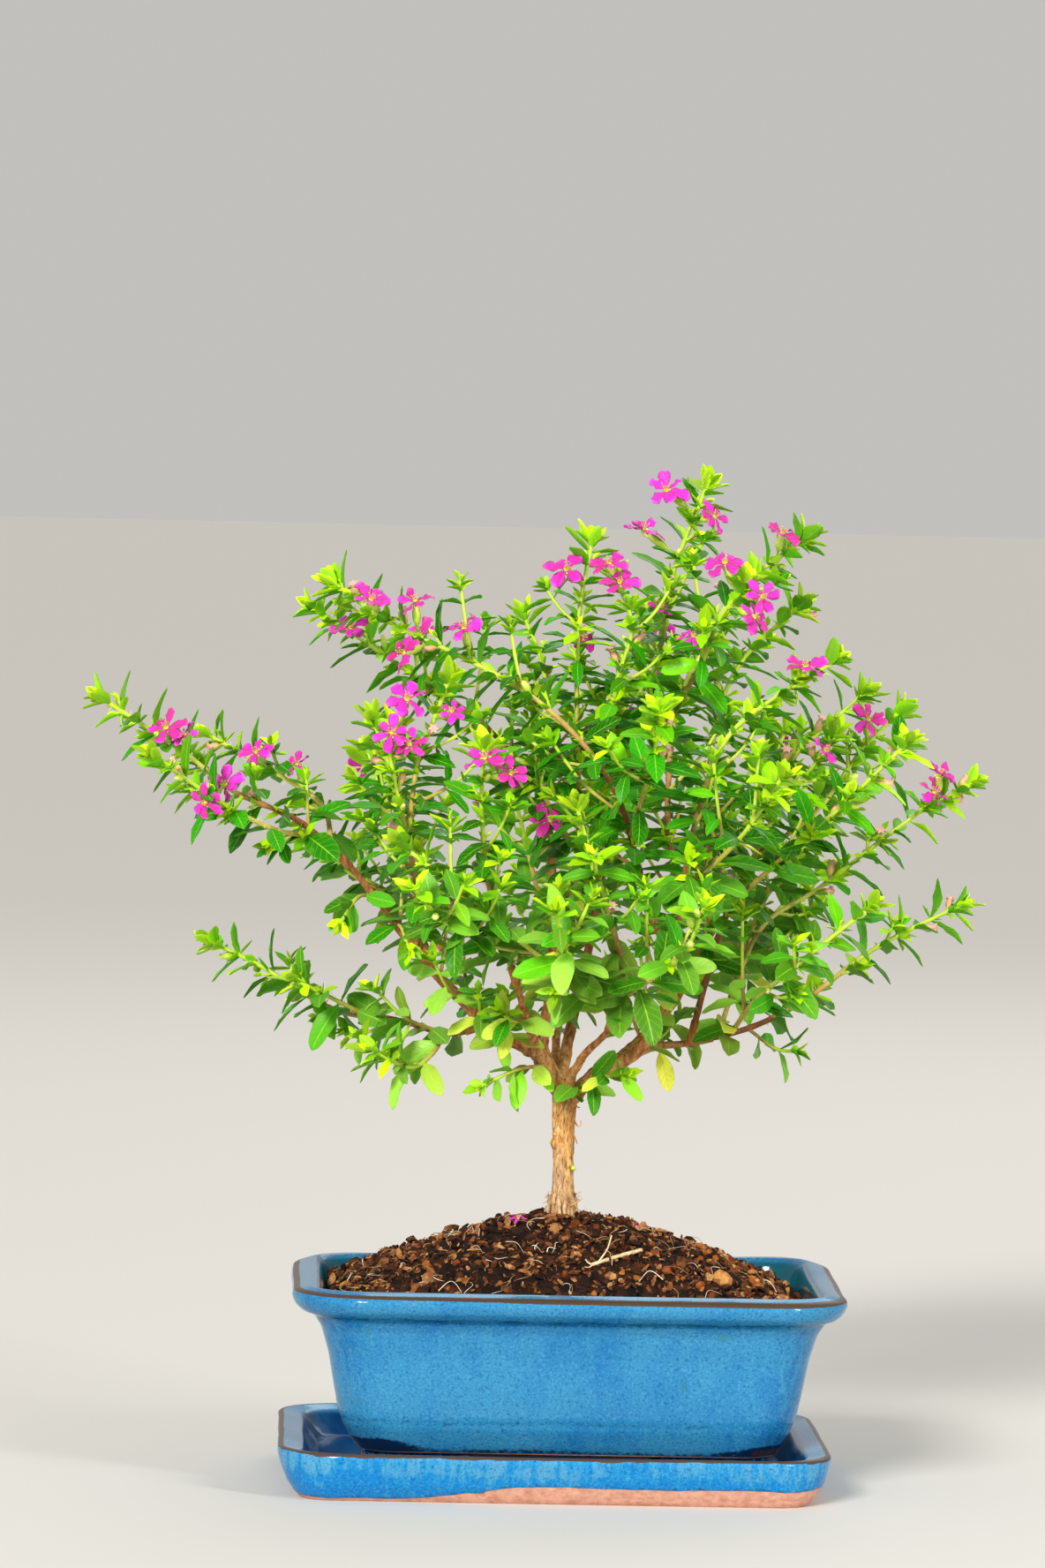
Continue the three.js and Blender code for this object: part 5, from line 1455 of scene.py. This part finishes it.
def calyx_tubes(skin, foot, mouth, girth, flare, blush):
    """Adds stalks and ribbed calyx tubes from foot to mouth: slim, swollen past the middle, then a neck
    that flares into six teeth, or closes to a bud's point."""
    shares = np.array([0, 0.3, 0.36, 0.5, 0.68, 0.82, 0.9, 1.0])
    swell = np.array([0.34, 0.32, 0.55, 0.95, 1.0, 0.8, mix(0.8, 0.95, flare), mix(0.25, 1.3, flare)])
    angle = spokes(12)
    depth = np.array([0, 0, 0.05, 0.08, 0.08, 0.08, 0.12, 0.3 * flare])
    ribs = 1 + depth[:, None] * np.cos(6 * angle)
    lines = foot[:, None] + (mouth - foot)[:, None] * shares[:, None]
    radii = girth[:, None, None] * swell[:, None] * ribs
    skin.add(pipes(lines, radii, 12), 2, along=shares[:, None], blush=blush[:, None, None])


def flower(skin, centre, axis, radius, seed, petals=6):
    """Adds one open bloom: crinkled obovate petals round the mouth, a throat and short stamens."""
    turn = 2 * math.pi * next(seeded(seed))
    rng = np.random.default_rng(seed)
    axis = unit(axis + 0.24 * rng.normal(size=3))
    first = unit(np.cross(axis, (0.3, 0.2, 1)))
    second = np.cross(axis, first)
    angle = turn + np.arange(petals) * 2 * math.pi / 6 + 0.1 * rng.normal(size=petals)
    out = first * np.cos(angle)[:, None] + second * np.sin(angle)[:, None]
    along = unit(out + axis * rng.uniform(-0.2, 0.6, petals)[:, None])
    face = unit(axis - along * dot(axis, along))
    face = unit(face + 0.35 * np.cross(along, face) * rng.normal(size=(petals, 1)))
    length = radius * rng.uniform(0.8, 1.1, petals)
    stand = {
        "foot": centre + out * 0.3, "along": along, "face": face, "length": length - 0.3,
        "half": length * rng.uniform(0.23, 0.33, petals), "droop": rng.uniform(-0.05, 0.4, petals),
    }
    points, values = blades(stand, PETAL, 0.2, fold=0.05, wave=0.3, seed=seed)
    crinkle = 0.42 * ripple(points, 1.6, seed) * np.minimum(1, 2 * values["along"])
    points = points + axis * crinkle[..., None]
    values["shade"] = np.clip(rng.random() + 0.25 * rng.normal(size=petals), 0, 1)[:, None, None]
    skin.add(points, 0, **values)
    throat = centre + axis * np.array([[-0.9], [0.3]])
    skin.add(pipes(throat[None], [0.1 * radius, 0.13 * radius], 12), 1, along=0.15)
    count = 8
    spin = spokes(count)
    lean = first * np.cos(spin)[:, None] + second * np.sin(spin)[:, None]
    lean = lean * rng.uniform(0.2, 0.6, count)[:, None]
    way = unit(axis + lean)
    reach = radius * rng.uniform(0.2, 0.4, count)[:, None, None]
    t = np.array([0, 0.5, 0.8, 0.84, 0.95, 1.0])
    lines = (centre + lean * 0.12 * radius)[:, None] + way[:, None] * reach * t[:, None]
    skin.add(pipes(lines, [0.09, 0.07, 0.07, 0.19, 0.19, 0.06], 4), 1, along=t[:, None])


def bloom_axis(path, at):
    """A bloom's stalk starts on its shoot, a little below it. The bloom turns from the stalk's line up and
    out towards the light, which comes from the front."""
    centre = np.array(at, float)
    foot = path.at(path.nearest(centre) - 4)[0]
    light = unit((centre - [TRUNK_X, LIGHT_DEPTH, 0]) * [1, 1, 0])
    return foot, centre, unit(0.45 * unit(centre - foot) + 0.62 * light + 0.68 * UP)


def side_twigs(paths, seed, start, gap, longest, shortest):
    """Side twigs of the paths, each curving up out of its parent, with the share of the way along that
    parent where it stands."""
    rng = np.random.default_rng(seed)
    twigs = []
    for path in paths:
        for distance in np.arange(start + gap * rng.random(), path.length - 14, gap):
            share = distance / path.length
            point, tangent, side, other = path.at(np.array([distance]))
            way, _ = turned(tangent, side, other, rng.uniform(0, 2 * math.pi, 1), rng.uniform(0.7, 1.1, 1))
            reach = mix(longest, shortest, share) * rng.uniform(0.65, 1.1)
            reach *= mix(1, 0.4, smooth(38, 70, abs(point[0, 0] - TRUNK_X)))
            foot, way = point[0], way[0]
            middle = foot + (0.5 * way + 0.06 * UP) * reach
            twigs.append((Path([foot, middle, foot + (0.9 * way + 0.28 * UP) * reach]), share))
    return twigs


# About the fork: leafy twigs, single leaves (foot, direction, length, how yellow) and a sprig
FORK_TWIGS = [
    [(3, -3, 108), (9, -12, 111), (17, -20, 113)],
    [(-4, -6, 114), (-12, -12, 113), (-21, -18, 109)],
    [(-52, -21, 160), (-56, -28, 160), (-60, -34, 154)],
    [(-46, -19.5, 153), (-44, -27, 152), (-42, -34, 147)],
]
LOW_LEAVES = [
    ((27.5, -1, 118.5), (0.3, -0.3, -1), 11.5, 1.0), ((12, -14, 112), (-0.6, -0.5, -0.3), 8, 0.85),
    ((13, -16, 112.4), (0.35, -0.5, 0.2), 9, 0.2), ((16, -19, 113), (0.6, -0.4, -0.6), 9.5, 0.3),
    ((-14, -13, 112.6), (-0.2, -0.4, 0.9), 9, 0.5), ((-10, -10.5, 113), (-0.2, -0.5, -1), 11, 0.1),
    ((-6, -7.5, 113.6), (0.4, -0.6, -0.5), 9, 0.2),
]
SPRIG = np.array([(4.2, -2.6, 105.4), (6.4, -4.8, 107.0)])


class BONSAI_OT_shoots(bpy.types.Operator):
    """Leafy shoots: hairy stems, crossed leaf pairs, young tufts, calyx tubes and buds"""

    bl_idname = "bonsai.shoots"
    bl_label = "Leafy shoots"

    def execute(self, context):
        materials = [stem_skin(), leaf_wax(), calyx_skin()]
        for order, name in enumerate(SPRAYS):
            skin = Skin()
            paths = shoot_paths(name)
            for which, path in enumerate(paths):
                self.shoot(skin, path, which == 0, 1000 + 100 * order + which)
            for which, (twig, share) in enumerate(side_twigs(paths, 70 + order, 10, 15, 30, 13)):
                self.twig(skin, twig, share, 5000 + 100 * order + which)
            for flowers in BLOOMS.values():
                for spray, shoot, at, _ in flowers:
                    if spray == name:
                        foot, centre, axis = bloom_axis(paths[shoot], at)
                        mouth = centre - axis * 0.5
                        calyx_tubes(skin, foot[None], mouth[None], np.array([1.1]), 0.7, np.array([0.1]))
            skin.place(f"shoots_{name}", materials, "foliage", f"spray_{name}", crease=70)
        inner = Skin()
        branches = [Path(points) for points, _ in BRANCHES.values()]
        for which, (twig, share) in enumerate(side_twigs(branches, 69, 20, 9, 24, 20)):
            self.twig(inner, twig, 0.3 * share, 4000 + which)
        for which, points in enumerate(FORK_TWIGS):
            self.twig(inner, Path(points), 0.0, 4200 + which)
        self.low_leaves(inner)
        inner.place("shoots_inner", materials, "foliage", crease=70)
        return {"FINISHED"}

    def shoot(self, skin, path, is_main, seed):
        """A shoot of the model with its leaves, axil tufts, tip, buds and spent blooms."""
        rng = np.random.default_rng(seed)
        start = STUB + GAP if is_main else 0.0
        rows = leaf_stand(path, start, seed)
        foot = MAIN_STEM_RADIUS if is_main else SIDE_STEM_RADIUS
        self.stem(skin, path, start, foot, STEM_TIP_RADIUS, 0.75 if is_main else 0.35, rows)
        self.hairs(skin, path, start, rng)
        # The stem's lower part has dropped some of its leaves
        fallen = (np.arange(len(rows)) % 15 % 4 > 0) & (rows[:, 5] < 0.5) & (rng.random(len(rows)) < 0.5)
        rows = rows[~fallen]
        grown_leaves(skin, path, rows, seed)
        distance, azimuth, _, _, _, share = rows.T
        point, tangent, side, other = path.at(distance)
        high = smooth(130, 190, point[:, 2])
        axil = (rng.random(len(rows)) < mix(0.3, 1.0, share) * mix(0.35, 1.0, high)) & (share < 1)
        along, _ = turned(tangent, side, other, azimuth, np.full(len(rows), 0.6))
        size = rng.uniform(3.4, 7.2, len(rows)) * mix(1.0, 0.95, share)
        if axil.any():
            tufts(skin, point[axil], along[axil], size[axil], rng, 2, SMALL_LEAF)
        tip, heading, _, _ = path.at(np.array([path.length]))
        longest = mix(7.4, 9.0, smooth(150, 210, tip[:, 2]))
        tufts(skin, tip - heading * 3.5, heading, longest, rng, 4, LEAF)
        lean, _ = turned(tangent, side, other, azimuth + 0.7, rng.uniform(0.5, 1.0, len(rows)))
        mouth = point + lean * rng.uniform(5.0, 7.5, len(rows))[:, None]
        draw = rng.random(len(rows)) + 9.0 * ((share < 0.35) | (share >= 1))
        for low, high, spent in ((0.0, 0.06, 0.0), (0.06, 0.17, 1.0)):
            borne = (draw >= low) & (draw < high)
            if borne.any():
                girth = rng.uniform(0.8, 1.1, borne.sum())
                calyx_tubes(skin, point[borne], mouth[borne], girth, spent, np.full(borne.sum(), spent))

    def twig(self, skin, path, share, seed):
        """A small side shoot that stands at this share of the way along its parent."""
        rng = np.random.default_rng(seed)
        rows = leaf_stand(path, -1.0, seed)
        rows[:, 3] *= 0.74
        self.stem(skin, path, 0.0, 0.65, 0.45, mix(0.5, -0.1, share), rows)
        rows[:, 5] = np.minimum(mix(share, 1, rows[:, 5] ** 2) * 0.92, 0.99)
        grown_leaves(skin, path, rows, seed)
        tip, heading, _, _ = path.at(np.array([path.length]))
        tufts(skin, tip - heading * 2.5, heading, rng.uniform(5.5, 8, 1), rng, 3, SMALL_LEAF)

    def low_leaves(self, skin):
        """Broad leaves that hang about the fork, some of them yellowed, and a sprig on the trunk."""
        foot, way, length, fade = (np.array(part, float) for part in zip(*LOW_LEAVES))
        along = unit(way)
        front = np.array([0.0, -0.7, 0.7])
        face = unit(front - along * dot(front, along))
        stand = {"foot": foot, "along": along, "face": face, "length": length, "half": length * 0.21,
                 "droop": np.full(len(foot), 0.15)}
        points, values = blades(stand, BLUNT_LEAF, 0.4, fold=0.15, wave=0.1, seed=5)
        values.update(age=0.55, shade=0.75, fade=fade[:, None, None])
        skin.add(points, 1, **values)
        rng = np.random.default_rng(6)
        tufts(skin, SPRIG[:1], unit(SPRIG[1:] - SPRIG[:1]), np.array([4.6]), rng, 2, LEAF)

    def stem(self, skin, path, start, foot, tip, woody, rows):
        """The stem swells a little at each leaf pair, and is woody towards its foot."""
        steps = np.linspace(start, path.length, max(6, int((path.length - start) / 2)))
        nodes = np.abs(steps[:, None] - rows[:, 0]).min(axis=1)
        radius = mix(foot, tip, steps / path.length) * (0.84 + 0.26 * np.exp(-(nodes / 0.8) ** 2))
        wood = mix(woody, -0.2, smooth(0.2, 0.9, steps / path.length))
        skin.add(path.tube(steps, radius, 6), 0, wood=wood[:, None], hair=0)

    def hairs(self, skin, path, start, rng):
        """Short stiff hairs that stand out of the stem."""
        count = int((path.length - start) * 1.4)
        distance = rng.uniform(start, path.length, count)
        point, tangent, side, other = path.at(distance)
        azimuth = rng.uniform(0, 2 * math.pi, count)
        away, _ = turned(tangent, side, other, azimuth, rng.uniform(0.9, 1.5, count))
        ends = point + away * rng.uniform(1.4, 2.2, count)[:, None]
        skin.add(pipes(np.stack([point, ends], 1), [0.09, 0.02], 3), 0, wood=0, hair=1)


class BONSAI_OT_blooms(bpy.types.Operator):
    """Open blooms with crinkled petals, a throat and stamens"""

    bl_idname = "bonsai.blooms"
    bl_label = "Blooms"

    def execute(self, context):
        materials = [petal_silk(), stamen_skin()]
        paths = {name: shoot_paths(name) for name in SPRAYS}
        for order, (name, flowers) in enumerate(BLOOMS.items()):
            skin = Skin()
            for head, (spray, shoot, at, radius) in enumerate(flowers):
                _, centre, axis = bloom_axis(paths[spray][shoot], at)
                flower(skin, centre, axis, radius, 300 + 10 * order + head)
            skin.place(f"blossom_{name}", materials, "petal", f"bloom_{name}")
        return {"FINISHED"}


# Camera and light: the camera's place in millimetres, and its turn in degrees
CAMERA_AT = (-77, -2000, 273)
CAMERA_PITCH = -2.37
CAMERA_YAW = 1.88
CAMERA_ROLL = 1.25
CAMERA_FOCUS = 8330 / 1776          # focal length over the picture's long side
SENSOR = 36.0
# Each soft box's place in metres, width, height and power, and the sun's direction
LIGHTS = [
    ("key", (-0.9, -1.7, 1.0), 0.2, 0.4, 17),
    ("fill", (1.3, -1.3, 0.7), 0.16, 0.7, 18),
    ("rim", (0.5, 1.4, 1.3), 1.2, 1.2, 6),
]
LIGHT_AIM = (0.0, 0.0, 0.14)
SUN_FROM = (-0.65, -1.7, 0.85)
SUN_STRENGTH = 2.6
SUN_WIDTH = 12                      # degrees
SKY_STRENGTH = 0.67
FLOOR_REACH = 40.0


class BONSAI_OT_stage(bpy.types.Operator):
    """Pale floor, soft studio lights and the camera"""

    bl_idname = "bonsai.stage"
    bl_label = "Stage"

    def execute(self, context):
        self.floor()
        self.lights()
        self.camera()
        return {"FINISHED"}

    def floor(self):
        made, _, _ = blank("Painted floor", Base_Color=linear("#d2d0cc"), Roughness=0.8)
        mesh = bpy.data.meshes.new("floor")
        signs = ((-1, -1), (1, -1), (1, 1), (-1, 1))
        mesh.from_pydata([(x * FLOOR_REACH, y * FLOOR_REACH, 0) for x, y in signs], [], [(0, 1, 2, 3)])
        mesh.materials.append(made)
        floor = into_scene("floor", mesh)

    def lights(self):
        world = bpy.data.worlds.new("studio")
        world.use_nodes = True
        background = world.node_tree.nodes["Background"]
        feed(background, {"Color": linear("#e8e6e2"), "Strength": SKY_STRENGTH})
        bpy.context.scene.world = world
        for name, spot, width, height, power in LIGHTS:
            lamp = bpy.data.lights.new(name, "AREA")
            lamp.shape = "RECTANGLE"
            lamp.size = width
            lamp.size_y = height
            lamp.energy = power
            made = into_scene(name, lamp)
            made.location = spot
            self.face(made, Vector(LIGHT_AIM) - Vector(spot))
        lamp = bpy.data.lights.new("sun", "SUN")
        lamp.energy = SUN_STRENGTH
        lamp.angle = math.radians(SUN_WIDTH)
        lamp.color = (1.0, 0.95, 0.86)
        self.face(into_scene("sun", lamp), -Vector(SUN_FROM))

    def face(self, lamp, way):
        lamp.rotation_mode = "QUATERNION"
        lamp.rotation_quaternion = way.to_track_quat("-Z", "Y")

    def camera(self):
        pitch, yaw, roll = (math.radians(turn) for turn in (CAMERA_PITCH, CAMERA_YAW, CAMERA_ROLL))
        forward = Vector((math.sin(yaw) * math.cos(pitch), math.cos(yaw) * math.cos(pitch), math.sin(pitch)))
        right = Vector((math.cos(yaw), -math.sin(yaw), 0))
        above = right.cross(forward)
        across = right * math.cos(roll) + above * math.sin(roll)
        upward = above * math.cos(roll) - right * math.sin(roll)
        lens = bpy.data.cameras.new("camera")
        lens.sensor_width = SENSOR
        lens.lens = SENSOR * CAMERA_FOCUS
        lens.clip_start = 0.05
        lens.clip_end = 50
        made = into_scene("camera", lens)
        turn = Matrix((across, upward, -forward)).transposed().to_4x4()
        made.matrix_world = Matrix.Translation(Vector(CAMERA_AT) * MM) @ turn
        bpy.context.scene.camera = made
        bpy.context.scene.view_settings.view_transform = "Standard"


class BONSAI_PT_panel(bpy.types.Panel):
    """Sizes and colours, and a button for each piece"""

    bl_label = "Cuphea Bonsai"
    bl_idname = "BONSAI_PT_panel"
    bl_space_type = "VIEW_3D"
    bl_region_type = "UI"
    bl_category = "Bonsai"

    def draw(self, context):
        layout = self.layout
        for name, group in SETTINGS.items():
            box = layout.box()
            box.label(text=group.__doc__)
            for key in group.__annotations__:
                box.prop(getattr(context.scene, name), key)
        for operator in OPERATORS:
            layout.operator(operator.bl_idname)


OPERATORS = [
    BONSAI_OT_saucer, BONSAI_OT_pot, BONSAI_OT_screens, BONSAI_OT_soil,
    BONSAI_OT_trunk, BONSAI_OT_shoots, BONSAI_OT_blooms, BONSAI_OT_stage,
]


def register():
    for group in [*SETTINGS.values(), *OPERATORS, BONSAI_PT_panel]:
        bpy.utils.register_class(group)
    for name, group in SETTINGS.items():
        setattr(bpy.types.Scene, name, PointerProperty(type=group))


def unregister():
    for name in SETTINGS:
        delattr(bpy.types.Scene, name)
    for group in reversed([*SETTINGS.values(), *OPERATORS, BONSAI_PT_panel]):
        bpy.utils.unregister_class(group)


def main():
    register()
    for operator in OPERATORS:
        name = operator.bl_idname.split(".")[1]
        getattr(bpy.ops.bonsai, name)()


if __name__ == "__main__":
    main()
